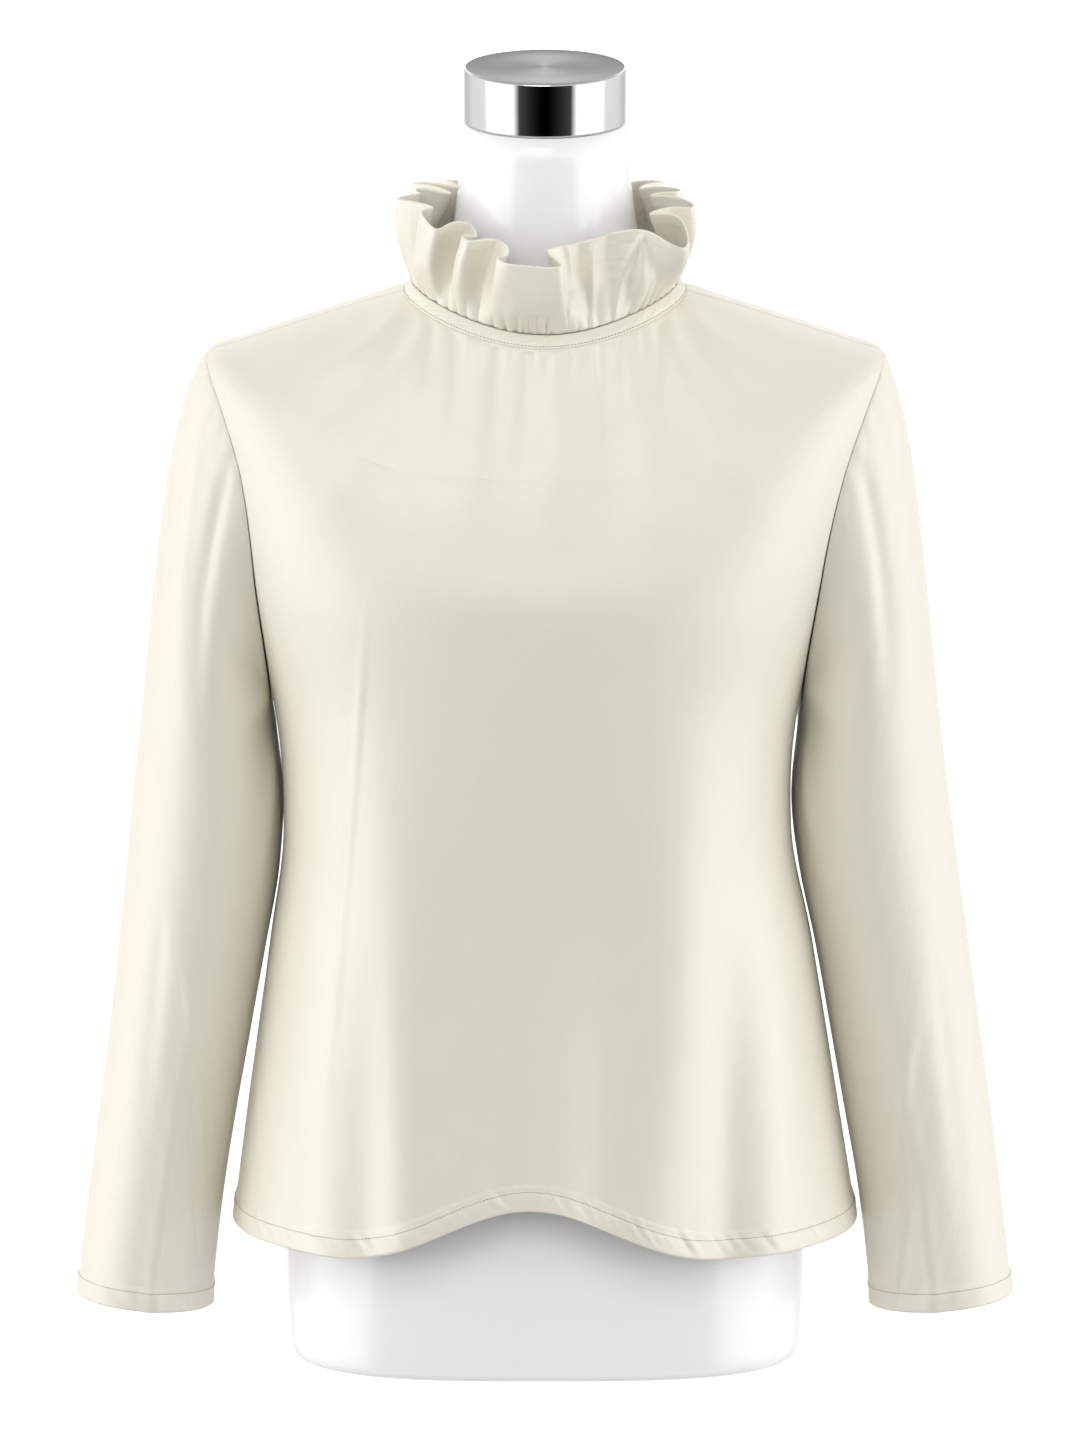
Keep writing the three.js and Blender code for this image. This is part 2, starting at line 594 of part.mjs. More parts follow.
function ruffle() {
  const rows = [0, 0.12, 0.3, 0.55, 0.8, 1].map((up) => {
    const steps = up < 0.4 ? 3 * RUFFLE_GATHERS : 2 * LAST_BEND;
    const row = [];
    for (let i = 0; i <= steps; i += 1) {
      const along = up < 0.4 ? bendAtSeam(mix(-178.6, 178.6, i / steps)) : i * LAST_BEND / steps;
      const beside = Math.min(LAST_BEND - 0.05, Math.max(0.05, along));
      const normal = surfaceNormal(rufflePoint, beside, up, 0.05, 0.01, [0, 1]);
      row.push({ key: along, point: rufflePoint(along, up), normal: normal.negate(), wall: RUFFLE_WALL });
    }
    return row;
  });
  const sheet = numberRows(rows);
  const faces = [];
  for (let r = 0; r < rows.length - 1; r += 1) joinRows(rows[r + 1], rows[r], faces);
  return clothWall(sheet, faces);
}

// Count of bends at a place on the neck seam.
function bendAtSeam(seamAngle) {
  let low = 0;
  let high = LAST_BEND;
  for (let k = 0; k < 30; k += 1) {
    const middle = (low + high) / 2;
    if (readTable(RUFFLE_ROWS, 'index', 'seam', middle) < seamAngle) low = middle;
    else high = middle;
  }
  return (low + high) / 2;
}

// ---------------------------------------------------------------- button and loop
// Frame on the outside of the binding beside the centre back opening: x runs along the binding
// away from the opening, z stands off the cloth.
function fasteningFrame() {
  const at = BUTTON.down;
  const perDegree = neckRing(179, at).distanceTo(neckRing(178, at));
  const around = 180 - BUTTON.fromCentre / perDegree;
  const off = surfaceNormal(neckRing, around, at, 1, 0.02);
  const along = neckRing(around - 1, at).sub(neckRing(around + 1, at)).normalize();
  const down = new THREE.Vector3().crossVectors(off, along);
  const origin = neckRing(around, at).addScaledVector(off, BINDING_WALL / 2 + SEAM_GAP);
  return new THREE.Matrix4().makeBasis(along, down, off).setPosition(origin);
}

function button() {
  const { radius, thick } = BUTTON;
  const profile = [
    [0, 0], [radius * 0.8, 0], [radius, thick * 0.35], [radius, thick * 0.7],
    [radius * 0.84, thick], [radius * 0.62, thick * 0.78], [0, thick * 0.72],
  ].map(([out, up]) => new THREE.Vector2(out, up));
  return new THREE.LatheGeometry(profile, 24).rotateX(Math.PI / 2).applyMatrix4(fasteningFrame());
}

function buttonLoop() {
  const clear = BUTTON.radius + SEAM_GAP + LOOP_THREAD;
  const far = -BUTTON.fromCentre - 5;
  const half = [
    [far, 1.3], [far + 4, 2.4], [-0.62 * clear, 0.85 * clear], [0, 1.02 * clear],
    [0.74 * clear, 0.7 * clear],
  ];
  const route = [...half, [clear, 0], ...half.toReversed().map(([x, y]) => [x, -y])];
  const path = new THREE.CatmullRomCurve3(route.map(([x, y]) => new THREE.Vector3(x, y, LOOP_THREAD)));
  const section = new THREE.Shape().absarc(0, 0, LOOP_THREAD, 0, 2 * Math.PI);
  const drawn = { extrudePath: path, steps: 26, curveSegments: 4, bevelEnabled: false };
  return new THREE.ExtrudeGeometry(section, drawn).applyMatrix4(fasteningFrame());
}

// ---------------------------------------------------------------- dress form
function dressForm() {
  const steps = 36;
  const ats = [0, 0.02, 0.05, 0.08, 0.14, 0.24, 0.34, 0.43, 0.52, 0.58, 0.64, 0.7, 0.74, 0.77, 0.8, 0.83,
    0.87, 0.91, 0.94, 0.965, 0.985, 1];
  const rings = ats.map((at) => {
    const section = sectionAt(FORM_RINGS, at);
    return Array.from({ length: steps }, (_, i) => sectionPoint(section, i * 360 / steps));
  });
  return solidFromRings(rings);
}

function neckCap() {
  const round = 1.6; // softened rims
  const profile = [
    [0, 0], [CAP_RADIUS - 1.2, 0], [CAP_RADIUS, 1.2], [CAP_RADIUS, CAP_HEIGHT - round],
    [CAP_RADIUS - 0.5 * round, CAP_HEIGHT - 0.3 * round], [CAP_RADIUS - 1.6 * round, CAP_HEIGHT],
    [0, CAP_HEIGHT],
  ].map(([radius, z]) => new THREE.Vector2(radius, z));
  const geometry = new THREE.LatheGeometry(profile, 40);
  geometry.rotateX(Math.PI / 2);
  geometry.translate(0, 0, NECK_TOP_Z + SEAM_GAP);
  return geometry;
}

// ---------------------------------------------------------------- assembly
function named(name, geometry, look) {
  const mesh = new THREE.Mesh(geometry, new THREE.MeshStandardMaterial(look));
  mesh.name = name;
  return mesh;
}

const group = new THREE.Group();
group.add(named('dress_form', dressForm(), FORM));
group.add(named('neck_cap', neckCap(), CHROME));
group.add(named('front_panel', panel(0, { neck: 54, chest: 40, body: 30 }, ARMHOLE_DIP.front), CLOTH));
group.add(named('back_panel', panel(180, { neck: 36, chest: 28, body: 22 }, ARMHOLE_DIP.back), CLOTH));
group.add(named('right_sleeve', sleeve(-1), CLOTH));
group.add(named('left_sleeve', sleeve(1), CLOTH));
group.add(named('neck_binding', binding(), CLOTH));
group.add(named('neck_ruffle', ruffle(), CLOTH));
group.add(named('back_button', button(), PEARL));
group.add(named('button_loop', buttonLoop(), CLOTH));

// The part stands on its underside, with its origin under the middle of its bounding box.
const reach = new THREE.Box3().setFromObject(group).getCenter(new THREE.Vector3());
group.position.set(-reach.x, -reach.y, 0);

export default group;
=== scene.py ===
"""Ruffle neck blouse on a limbless dress form: cloth shells, stitches, form, cap and studio.

Sizes are millimetres on the body's own axis, as in the part's source, and turn to metres when a
mesh is made. Angles are degrees. The wearer faces -Y and the wearer's left is +X.
"""

import math

import bmesh
import bpy
import numpy as np
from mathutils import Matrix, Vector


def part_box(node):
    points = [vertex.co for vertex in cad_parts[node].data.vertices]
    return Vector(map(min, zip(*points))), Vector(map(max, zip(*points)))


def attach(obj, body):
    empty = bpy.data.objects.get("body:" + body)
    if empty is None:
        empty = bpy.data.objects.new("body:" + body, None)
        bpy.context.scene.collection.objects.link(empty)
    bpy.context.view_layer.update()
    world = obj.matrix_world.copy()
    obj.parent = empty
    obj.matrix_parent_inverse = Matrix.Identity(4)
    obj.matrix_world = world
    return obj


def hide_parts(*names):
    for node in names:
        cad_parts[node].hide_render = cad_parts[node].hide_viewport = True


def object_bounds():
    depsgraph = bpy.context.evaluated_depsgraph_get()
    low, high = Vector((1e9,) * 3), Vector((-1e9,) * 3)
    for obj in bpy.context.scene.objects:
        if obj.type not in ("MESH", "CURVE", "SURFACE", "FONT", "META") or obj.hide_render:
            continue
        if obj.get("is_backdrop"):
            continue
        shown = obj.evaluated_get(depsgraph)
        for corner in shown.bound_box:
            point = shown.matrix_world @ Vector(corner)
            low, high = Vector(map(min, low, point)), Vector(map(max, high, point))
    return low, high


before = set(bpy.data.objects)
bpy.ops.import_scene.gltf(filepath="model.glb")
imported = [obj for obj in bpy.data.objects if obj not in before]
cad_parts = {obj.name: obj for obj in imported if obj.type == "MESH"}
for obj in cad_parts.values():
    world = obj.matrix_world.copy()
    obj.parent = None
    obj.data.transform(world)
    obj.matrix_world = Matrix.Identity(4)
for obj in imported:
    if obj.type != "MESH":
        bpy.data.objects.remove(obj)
CAD_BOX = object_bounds()
cap_low, cap_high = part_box("neck_cap")
AXIS = np.array([(cap_low[0] + cap_high[0]) / 2, (cap_low[1] + cap_high[1]) / 2, 0])

# ---------------- driving dimensions
PANEL_WALL = 1.2  # cloth of the front, back and sleeves
HEM_WALL = 2.0  # the same cloth where it is turned up
CAD_PANEL_WALL = 1.4  # the same cloth in the part's solids
RUFFLE_WALL = 0.75
RUFFLE_HEM_WALL = 1.15
BINDING_WALL = 2.0
ROUNDING = 0.4  # how far a cloth edge is rounded out, as a share of its wall
SEAM_GAP = 0.3
LAP_GAP = 1.1  # sleeve seam lapping the panel at the underarm
SLIT_WIDTH = 3.2  # centre back opening under the binding
SLIT_AT = 0.19  # how far down the back it ends, neck 0 to hem 1
SLIT_EASE = 12  # how far to each side the cloth gives way to it
NECK_OPENING = 1.4  # degrees left open each side of centre back
RUFFLE_SEAT = 1.0  # height of the ruffle's gathered edge over the neck seam
RUFFLE_WIDTH = 54
RUFFLE_GATHERS = 64
RUFFLE_HEM_DEPTH = 7.5
HEM_DEPTH = 12.5
HEM_STITCH_LINE = HEM_DEPTH - 1.4
HEM_Z = 80.5
CAP_RADIUS = 49.6
CAP_HEIGHT = 34
NECK_TOP_Z = 759.7
BUTTON = {"radius": 3.8, "thick": 2.2, "from_centre": 5.8, "down": 0.57}
SIDE = {-1: "right", 1: "left"}

STITCH = {"length": 1.4, "pitch": 2.15, "radius": 0.24, "lift": 0.1}
# A stitch from end to end: how far along, how thick and how high it is, as shares of its size.
STITCH_RINGS = ((-1, 0.25, -0.9), (-0.8, 0.8, -0.25), (-0.3, 1, 0.1),
                (0.3, 1, 0.1), (0.8, 0.8, -0.25), (1, 0.25, -0.9))
STITCH_SIDES = 6

# A turned-up hem: its raised band, the line that its stitches press in, and its slanting puckers
# by wavelength and height. A cuff's puckers are counted round it instead.
HEM_BAND = {"height": 0.55, "edge": (1.2, 0.6)}
HEM_PRESS = {"depth": 0.4, "width": 1.1}
HEM_PUCKER = {"height": 0.62, "lean": 0.9, "centre": 0.7, "width": 6.5}
HEM_WAVES = ((7.9, 0.3), (10.7, 0.32), (14.3, 0.3), (19, 0.24), (27, 0.2), (41, 0.2))
CUFF_WAVES = ((13, 0.34), (10, 0.3), (7, 0.3), (16, 0.2), (4, 0.3))
# Where the panels' and the sleeves' hems start, in their own ways down.
PANEL_HEM_AT = 0.974
SLEEVE_HEM_AT = 0.955


def table(columns, rows):
    """A table: its column names in one string, then a row of values for each section or fold."""
    return dict(zip(columns.split(), np.array(rows, float).T))


# Sections of the body from neck (at 0) to hem (at 1). side, front and back are half sizes from
# the centre line, square is the superellipse power, and sideZ, frontZ and backZ are heights.
# dip says how fast a section leaves its side height on the way to the centre.
RING_COLUMNS = "at side front back square sideZ frontZ backZ dip"
BODY_RINGS = table(RING_COLUMNS, [
    [0.0, 85.5, 76.0, 68.5, 2.1, 655.0, 635.5, 646, 2.0],
    [0.05, 110, 84, 79, 2.1, 648, 619, 636, 2.6],
    [0.11, 152, 96, 91, 2.15, 634.5, 596, 617, 3.6],
    [0.16, 185, 105, 98, 2.15, 623.5, 578, 601, 4.8],
    [0.2, 204, 112, 102, 2.2, 616.5, 563, 587, 5.6],
    [0.24, 205, 119, 105, 2.3, 598, 546, 570, 5.0],
    [0.29, 199, 127, 107, 2.4, 567, 523, 548, 4.2],
    [0.38, 185, 137, 107, 2.45, 492, 482, 503, 3.2],
    [0.48, 164, 131, 102, 2.4, 402, 427, 438, 2.4],
    [0.6, 157.8, 125, 98.5, 2.35, 326, 345, 346, 2.0],
    [0.74, 166, 123, 104, 2.35, 252, 257, 257, 2.0],
    [0.88, 179.4, 126, 115, 2.35, 152, 154, 154, 2.0],
    [1.0, 188.3, 130, 122, 2.35, 80.5, 80.5, 80.5, 2.0],
])
# Reach of the left side as a share of the right side's: it is taken in more at the waist.
LEFT_SIDE = table("at share", [
    [0.0, 1], [0.2, 1], [0.29, 0.985], [0.38, 0.952], [0.48, 0.936], [0.6, 0.941], [0.74, 0.972],
    [0.88, 0.987], [1.0, 1],
])
TIP_AT = 0.2  # where the armhole starts at the shoulder tip
UNDERARM_AT = 0.48
ARMHOLE_DIP = {"front": 19.5, "back": 15}  # degrees the armhole cuts into each panel
ARMHOLE_STEP = 4  # degrees round it between points that give its direction
EDGE_STEP = 1.2  # degrees back from it, to find which way its panel runs
HEM_RISE = {"height": 33, "half_width": 118, "centre": -8, "from": 0.62}

# Soft ridges (+) and hollows (-) of the hanging cloth, from (topX, topZ) to (hemX, the hem).
# They are full from a share of the way down, and fade out towards the side seams.
FOLD_FULL_AT = 0.75
DRAPE_EASE = 0.16
FOLD_COLUMNS = "topX topZ hemX width height"
FRONT_FOLDS = table(FOLD_COLUMNS, [
    [-112, 530, -84, 31, 9], [108, 530, 58, 32, 9], [-14, 500, -22, 40, -5],
    [-132, 400, -132, 19, 5], [134, 400, 138, 19, 5], [-100, 360, -104, 13, -2.4],
    [106, 360, 110, 13, -2.4], [-34, 360, -42, 15, 2.2], [36, 400, 34, 15, 2],
])
BACK_FOLDS = table(FOLD_COLUMNS, [
    [-92, 440, -126, 20, 9.5], [-58, 400, -82, 16, -6], [-24, 380, -36, 18, 8],
    [6, 430, 10, 19, -6], [40, 400, 54, 20, 8], [72, 370, 94, 16, -6], [98, 430, 134, 18, 9.5],
])

# Gathers below the binding, by their place along it (x), and how they lean on their way down.
# Each rises in the first millimetres, fades from a share of its length on, and widens.
GATHER = {"rise": (0, 3), "fade": (0.25, 1), "start": 0.7}
GATHER_COLUMNS = "place lean length width height"
FRONT_GATHERS = table(GATHER_COLUMNS, [
    [-74, -10, 60, 4.2, 0.76], [-67, -8, 46, 3, -0.64], [-60, -7, 85, 6.2, 1],
    [-53, -5, 70, 5.2, -1.09], [-46, -4, 38, 2.2, 0.56], [-41, -4, 105, 7, 1.09],
    [-34, -2, 24, 2, 0.64], [-29, -2, 75, 4.5, -1.42], [-22.5, -1, 32, 2.2, 0.8],
    [-17, -2, 60, 4.2, 0.5], [-11, -3, 110, 5.8, -1], [-7.5, 2, 17, 1.5, -0.72],
    [-3.5, 1, 22, 2, 0.72], [2, 0, 19, 1.8, -0.72], [6, -1, 120, 7.5, 1.42],
    [14.5, 1, 21, 1.5, -0.88], [19, 2, 28, 2.2, 0.64], [24.5, 3, 16, 1.8, -0.56],
    [29, 3, 40, 2.4, 1.12], [34, 4, 112, 6.8, -1.26], [41, 2, 20, 1.8, 0.56],
    [45, 2, 26, 1.8, -0.64], [49, 4, 46, 2.2, 1.04], [54, 4, 90, 5.5, 0.68],
    [58, 4, 24, 1.6, -0.72], [62, 5, 18, 1.7, 0.64], [68, 7, 76, 5.5, -1.17],
    [75, 10, 60, 4.5, 0.92],
])
BACK_GATHERS = table(GATHER_COLUMNS, [
    [-66, -8, 66, 5.2, 0.62], [-57, -6, 44, 3, -0.8], [-49, -5, 92, 6.5, 0.74],
    [-40, -3, 36, 2.4, -0.88], [-34, -3, 70, 4.2, 0.56], [-27, -2, 30, 2, -0.8],
    [-21, -2, 58, 3.8, 0.74], [-14, -1, 88, 5, -0.68], [-8, -1, 26, 1.8, 0.64],
    [9, 1, 34, 2.2, 0.72], [15, 2, 84, 5.5, -0.74], [23, 2, 46, 2.8, 0.88], [30, 3, 24, 2, -0.64],
    [36, 3, 96, 6.2, 0.74], [45, 4, 40, 2.8, -0.88], [53, 5, 72, 5.2, 0.62], [62, 8, 58, 5, -0.62],
])
GATHERS = {"front": FRONT_GATHERS, "back": BACK_GATHERS}

# Single creases and soft folds of the cloth, from (x0, z0) to (x1, z1), bowed to one side.
# Each rises and fades over shares of its length, and spreads from its start width.
CREASE = {"rise": (-0.1, 0.12), "fade": (0.3, 1.0), "start": 0.8, "spread": 0.9}
CREASE_COLUMNS = "x0 z0 x1 z1 bow width height"
FRONT_CREASES = table(CREASE_COLUMNS, [
    [-88, 648, -190, 600, 8, 5.5, 2.2], [-84, 640, -176, 570, 7, 6.5, -1.8],
    [-80, 634, -152, 520, 6, 8, 1.6], [88, 648, 188, 606, -8, 5.0, 2.0],
    [84, 640, 180, 578, -7, 6.0, -1.7], [80, 632, 150, 530, -6, 8, 1.6],
    [-45, 585, -60, 500, 3, 11, 1.5], [10, 600, 6, 520, -2, 12, 1.8],
    [38, 598, 46, 508, 2, 11, -1.7], [62, 596, 88, 500, -4, 11, 1.4],
    [-109, 466, -143, 90, 3, 2.2, 1.1],
])
BACK_CREASES = table(CREASE_COLUMNS, [
    [-84, 652, -186, 604, 8, 5.5, 2.0], [-80, 644, -170, 574, 7, 6.5, -1.7],
    [84, 652, 184, 606, -8, 5.5, 1.9], [80, 644, 172, 572, -7, 6.5, -1.7],
    [-60, 600, -92, 500, 4, 11, 1.5], [58, 602, 88, 496, -4, 11, 1.5],
    [-20, 590, -16, 500, 2, 12, -1.6], [24, 588, 20, 508, -2, 12, 1.4],
    [106, 440, 142, 100, -3, 2.4, 1.0],
])
CREASES = {"front": FRONT_CREASES, "back": BACK_CREASES}
# Relief fades out towards the seams. Beside a seam the cloth sinks by a depth, over a width, and
# rises again a little way off.
SEAM_EASE = 14
SEAM_ROLL = {"rise": 0.2, "width": 1.6, "panel": (0.35, 1.4, 3.2), "sleeve": (0.45, 1.1, 3)}

# Sections of both sleeves from the underarm (at 0) to the cuff (at 1): inner and outer edge from
# the body's axis, the middle, half the depth, and the section's tilt.
SLEEVE_RINGS = table("at rightIn rightOut leftIn leftOut y z halfDepth tilt", [
    [0.0, 165.4, 245.0, 155.6, 239.5, 1, 385, 60, 1],
    [0.13, 160.9, 249.5, 151.7, 244.5, 2, 340, 57, 2],
    [0.24, 163.0, 253.0, 155.4, 249.5, 2, 301, 54, 3],
    [0.38, 170.2, 257.8, 164.8, 256.0, 2, 252, 51, 4],
    [0.52, 178.6, 263.0, 173.4, 262.6, 1, 202, 48, 4],
    [0.66, 187.4, 269.3, 182.0, 269.4, 0, 152, 45, 4],
    [0.8, 195.2, 275.6, 190.6, 275.6, -1, 102, 43, 4.3],
    [0.93, 200.9, 281.6, 196.4, 281.2, -2, 52, 41, 4.3],
    [1.0, 202.6, 283.6, 198.2, 283.4, -2, 30, 40.4, 4.3],
])
# Direction in which each sleeve leaves its seam, in degrees below level, round the armhole.
SLEEVE_START = table("round right left", [
    [0, 56, 64], [60, 48, 54], [110, 56, 60], [180, 92, 92], [250, 56, 60], [300, 48, 54],
    [360, 56, 64],
])
SLEEVE_PULL = {"start": 0.6, "end": 0.95}  # how stiffly the head holds its two directions
SLEEVE_SEAM = 163.8  # the seam along the inside of the arm
# Small gathers of the sleeve's head below its seam, and how the cloth sinks into that seam.
SLEEVE_EASE = {"height": 0.55, "count": 31, "reach": 75, "down": 3, "width": 7}
SLEEVE_HEAD_SINK = {"depth": 0.3, "width": 1.4}
# The sleeve's inner edge falls a little behind the body's side, less and less on the way down.
SLEEVE_TUCK = {"round": 204, "width": 20, "depth": 3.9, "right": (0.25, 0.5), "left": (0.15, 0.45)}
SLEEVE_CREASE = {"round": 96, "width": 8, "height": 1.7, "from": 0.1}
MM_PER_DEGREE = 1.45
# Soft folds of a sleeve's cloth, from (x0, z0) to (x1, z1): the way round in millimetres from the
# outside towards the front, and the way down from the seam. Each sleeve moves them round by a
# shift, and stretches the way down.
SLEEVE_FOLDS_MOVED = {"right": (0, 1), "left": (9, 0.88)}
SLEEVE_CREASES = table(CREASE_COLUMNS, [
    [222, 4, 150, 130, 8, 6.5, 1.7], [206, 2, 128, 96, 6, 6, -1.5], [236, 30, 190, 190, 6, 8, 1.8],
    [100, 10, 112, 160, -4, 10, -2], [60, 16, 84, 210, -6, 12, 1.8],
    [180, 330, 96, 290, 10, 8, 1.5], [196, 372, 110, 350, 8, 8, -1.4],
    [92, 300, 104, 470, 3, 12, -1], [190, 450, 160, 590, 3, 14, 1], [300, 4, 372, 130, 8, 6.5, 2],
    [318, 4, 396, 100, 6, 6, -1.7], [420, 10, 410, 170, 4, 10, -1.8],
    [340, 330, 420, 290, -10, 8, 1.5], [436, 300, 424, 480, -3, 10, 1.6],
])

NECK_SEAM = {"side": 80.6, "front": 69.5, "back": 62, "square": 2.1,
             "sideZ": 662.5, "frontZ": 643, "backZ": 653, "dip": 2}
# Bends of the ruffle's free edge (x, y), and the angle at which each leaves the seam.
RUFFLE_BENDS = table("seam x y", [
    [-178.6, -1.8, 63], [-174, -8, 71], [-168, -14, 69], [-162, -18, 56], [-156, -25, 57],
    [-151, -29, 71], [-146, -38, 68], [-141, -37, 49], [-135, -44, 45], [-130, -56, 60],
    [-125, -64, 52], [-121, -52, 35], [-116, -58, 30], [-111, -76, 35], [-107, -79, 28],
    [-103, -58, 18], [-98, -62, 11], [-94, -76, 9], [-90, -78, 2], [-86, -76, -5], [-81, -89, -13],
    [-77, -81, -21], [-73, -68, -29], [-70, -74.5, -37], [-64, -70, -53], [-58, -64, -59],
    [-53.5, -54, -46], [-50, -45.5, -42], [-48, -41.5, -61], [-45.5, -49.5, -64.5],
    [-42, -45, -70.5], [-37, -33, -63], [-33, -28, -62], [-30, -23, -71], [-27, -22.5, -83.5],
    [-24.5, -28.5, -87], [-20, -22.5, -92], [-9, -8, -94], [3, 3, -95], [9.5, 9.5, -92.5],
    [12, 1.6, -76], [17, 12, -65], [26, 28, -61.5], [35, 42, -57], [43, 53, -58], [50, 63, -62],
    [57, 74, -70], [63, 84, -70.5], [68, 86, -60], [72, 80, -43], [75, 63.5, -38], [78, 74, -31.5],
    [81, 88.5, -29], [85, 86.5, -19], [90, 66, -3], [94, 66, 3], [98, 79, -0.5], [102, 81, 8],
    [107, 67, 20], [112, 58, 24], [118, 60, 31], [124, 72, 40], [129, 63, 50], [134, 45, 41],
    [140, 42, 47], [146, 46, 66], [151, 37, 70], [157, 30, 55], [163, 22, 57], [168, 17, 71],
    [174, 8, 72], [178.6, 1.8, 63],
])
RUFFLE_BENDS["index"] = np.arange(len(RUFFLE_BENDS["seam"]), dtype=float)
LAST_BEND = RUFFLE_BENDS["index"][-1]
RUFFLE_TURN = 0.4  # how much the ruffle keeps upright at both ends of its rise
RUFFLE_BULGE = {"upright": 2.6, "leaning": 2.4, "lean": 8}
# Pinched gathers at the ruffle's seam: how their spacing sways (height, waves in the whole round,
# start), where they are calm, the pinch's height, power and sink, and how far their strength and
# reach swing about a mean.
RUFFLE_GATHER = {"sway": ((2.2, 5, 0.7), (1.5, 11, 2)), "calm_at": (12, -30), "calm": 0.85,
                 "calm_width": 5, "pinch": (1.5, 0.75, 0.95), "strength": (1.15, 0.75),
                 "reach": (0.34, 0.16)}
# The ruffle's narrow hem: slanting ripples that fade with a reach, and the stitches' press.
RUFFLE_HEM = {"ripple": 0.05, "lean": 0.8, "wave": 11.3, "reach": 5, "press": 0.1, "stitches": 6.6}
RUFFLE_STITCH_RADIUS = 0.12
# Deeper tucks that rise from the seam to a share of the ruffle's width.
RUFFLE_TUCKS = table("seam width height reach", [
    [-112, 4, 2.5, 0.7], [-66, 4, 2.6, 0.6], [-14, 5, 2.2, 0.55], [15, 3.5, 3.2, 0.5],
    [24, 3.5, -3, 0.6], [45, 5.5, 4.2, 0.85], [122, 4, 2.6, 0.65], [160, 4, 2.4, 0.6],
])
# Folds of the ruffle's front, by x and by height above its seam.
RUFFLE_CREASES = table(CREASE_COLUMNS, [
    [12.5, 56, 17.5, 14, 1.5, 1.8, 1.8], [18, 26, 14, 0, -1.5, 1.8, 1.2],
    [21, 54, 21, 4, 0, 4.2, -2.6], [28.5, 50, 28.5, 2, 0, 2, 1.8], [28.5, 0, 28, 46, 0, 1.8, 1.4],
    [37, 54, 35, 6, 0, 5, -2], [59.4, 50, 42, 2, -3, 1.8, 2.6], [42, 0, 52, 44, 2, 1.8, 1.8],
    [59.4, 48, 59, 8, 0, 1.6, 2], [51, 26, 49, 0, 0, 3.5, -2.2], [-16.4, 0, -17, 20, 0, 1.2, -1.6],
    [-10.3, 0, -10, 17, 0, 1, -1.4], [-4.8, 0, -5.5, 22, 0, 1.1, -1.6],
    [0.6, 0, 2, 20, 0, 1.2, -1.8], [-39, 52, -37, 4, 0, 4, -1.3], [-51, 44, -47, 4, 0, 4.5, 1.1],
])

# Slanting strain ripples of the binding by wavelength, lean and height, and its stitch line.
BINDING_STRAIN = ((8.3, 14, 0.16), (13.7, 0, 0.12), (5.1, -9, 0.1))
BINDING_PRESS = {"depth": 0.35, "up": 1.8 / 13, "width": 0.9 / 13}
BINDING_STITCH_LINE = 1.1
BINDING_SPAN = (0.04, 0.925)  # what it covers of the way from the neck seam to the panels
BINDING_CROWN = {"edge": 0.72, "power": 0.6}  # its wall at both edges as a share, and its rounding

# Sections of the dress form from its foot (at 0) to the top of its neck (at 1).
FORM_RINGS = table(RING_COLUMNS, [
    [0.0, 147, 100, 97, 3.2, 0, 0, 0, 2],
    [0.02, 153, 105, 102, 3.2, 2.4, 2.4, 2.4, 2],
    [0.05, 156.4, 107.5, 104.5, 3.2, 9, 9, 9, 2],
    [0.08, 157.6, 108, 105.5, 3.1, 24, 24, 24, 2],
    [0.14, 158.4, 107.5, 105.5, 2.9, 60, 60, 60, 2],
    [0.24, 155, 103, 101, 2.6, 130, 130, 130, 2],
    [0.34, 142, 100, 91, 2.35, 215, 215, 215, 2],
    [0.43, 134, 101, 84, 2.3, 300, 300, 300, 2],
    [0.52, 142, 113, 90, 2.3, 380, 385, 385, 2],
    [0.61, 156, 127, 98, 2.35, 462, 465, 470, 2],
    [0.7, 180, 118, 99, 2.35, 545, 523, 540, 3.2],
    [0.76, 193, 107, 95, 2.2, 588, 552, 570, 4.6],
    [0.8, 191, 100, 91, 2.15, 609, 568, 588, 5.0],
    [0.83, 172, 95, 87, 2.15, 620, 580, 602, 4.4],
    [0.87, 144, 87, 81, 2.15, 631, 597, 617, 3.6],
    [0.91, 106, 75, 69, 2.1, 645, 620, 636, 2.6],
    [0.94, 76, 64, 58, 2.05, 658, 641, 652, 2.0],
    [0.965, 59.5, 56, 53.5, 2.0, 681, 672, 678, 2.0],
    [0.985, 53, 52.5, 51.5, 2.0, 716, 714, 715, 2.0],
    [1.0, 49.6, 49.6, 49.6, 2.0, NECK_TOP_Z, NECK_TOP_Z, NECK_TOP_Z, 2],
])

# ---------------- small maths


def mix(a, b, t):
    return a + (b - a) * t


def smooth(low, high, value):
    t = np.clip((value - low) / (high - low), 0, 1)
    return t * t * (3 - 2 * t)


def bell(offset, width):
    return np.exp(-((offset / width) ** 2))


def unit(vectors):
    return vectors / np.maximum(np.linalg.norm(vectors, axis=-1, keepdims=True), 1e-12)


def sind(degrees):
    return np.sin(np.radians(degrees))


def cosd(degrees):
    return np.cos(np.radians(degrees))


def curve(start, start_pull, end, end_pull, t):
    """Point of a cubic curve from its ends and their pulls, at a share of the way."""
    t2, t3 = t * t, t * t * t
    return (start * (2 * t3 - 3 * t2 + 1) + start_pull * (t3 - 2 * t2 + t)
            + end * (3 * t2 - 2 * t3) + end_pull * (t3 - t2))


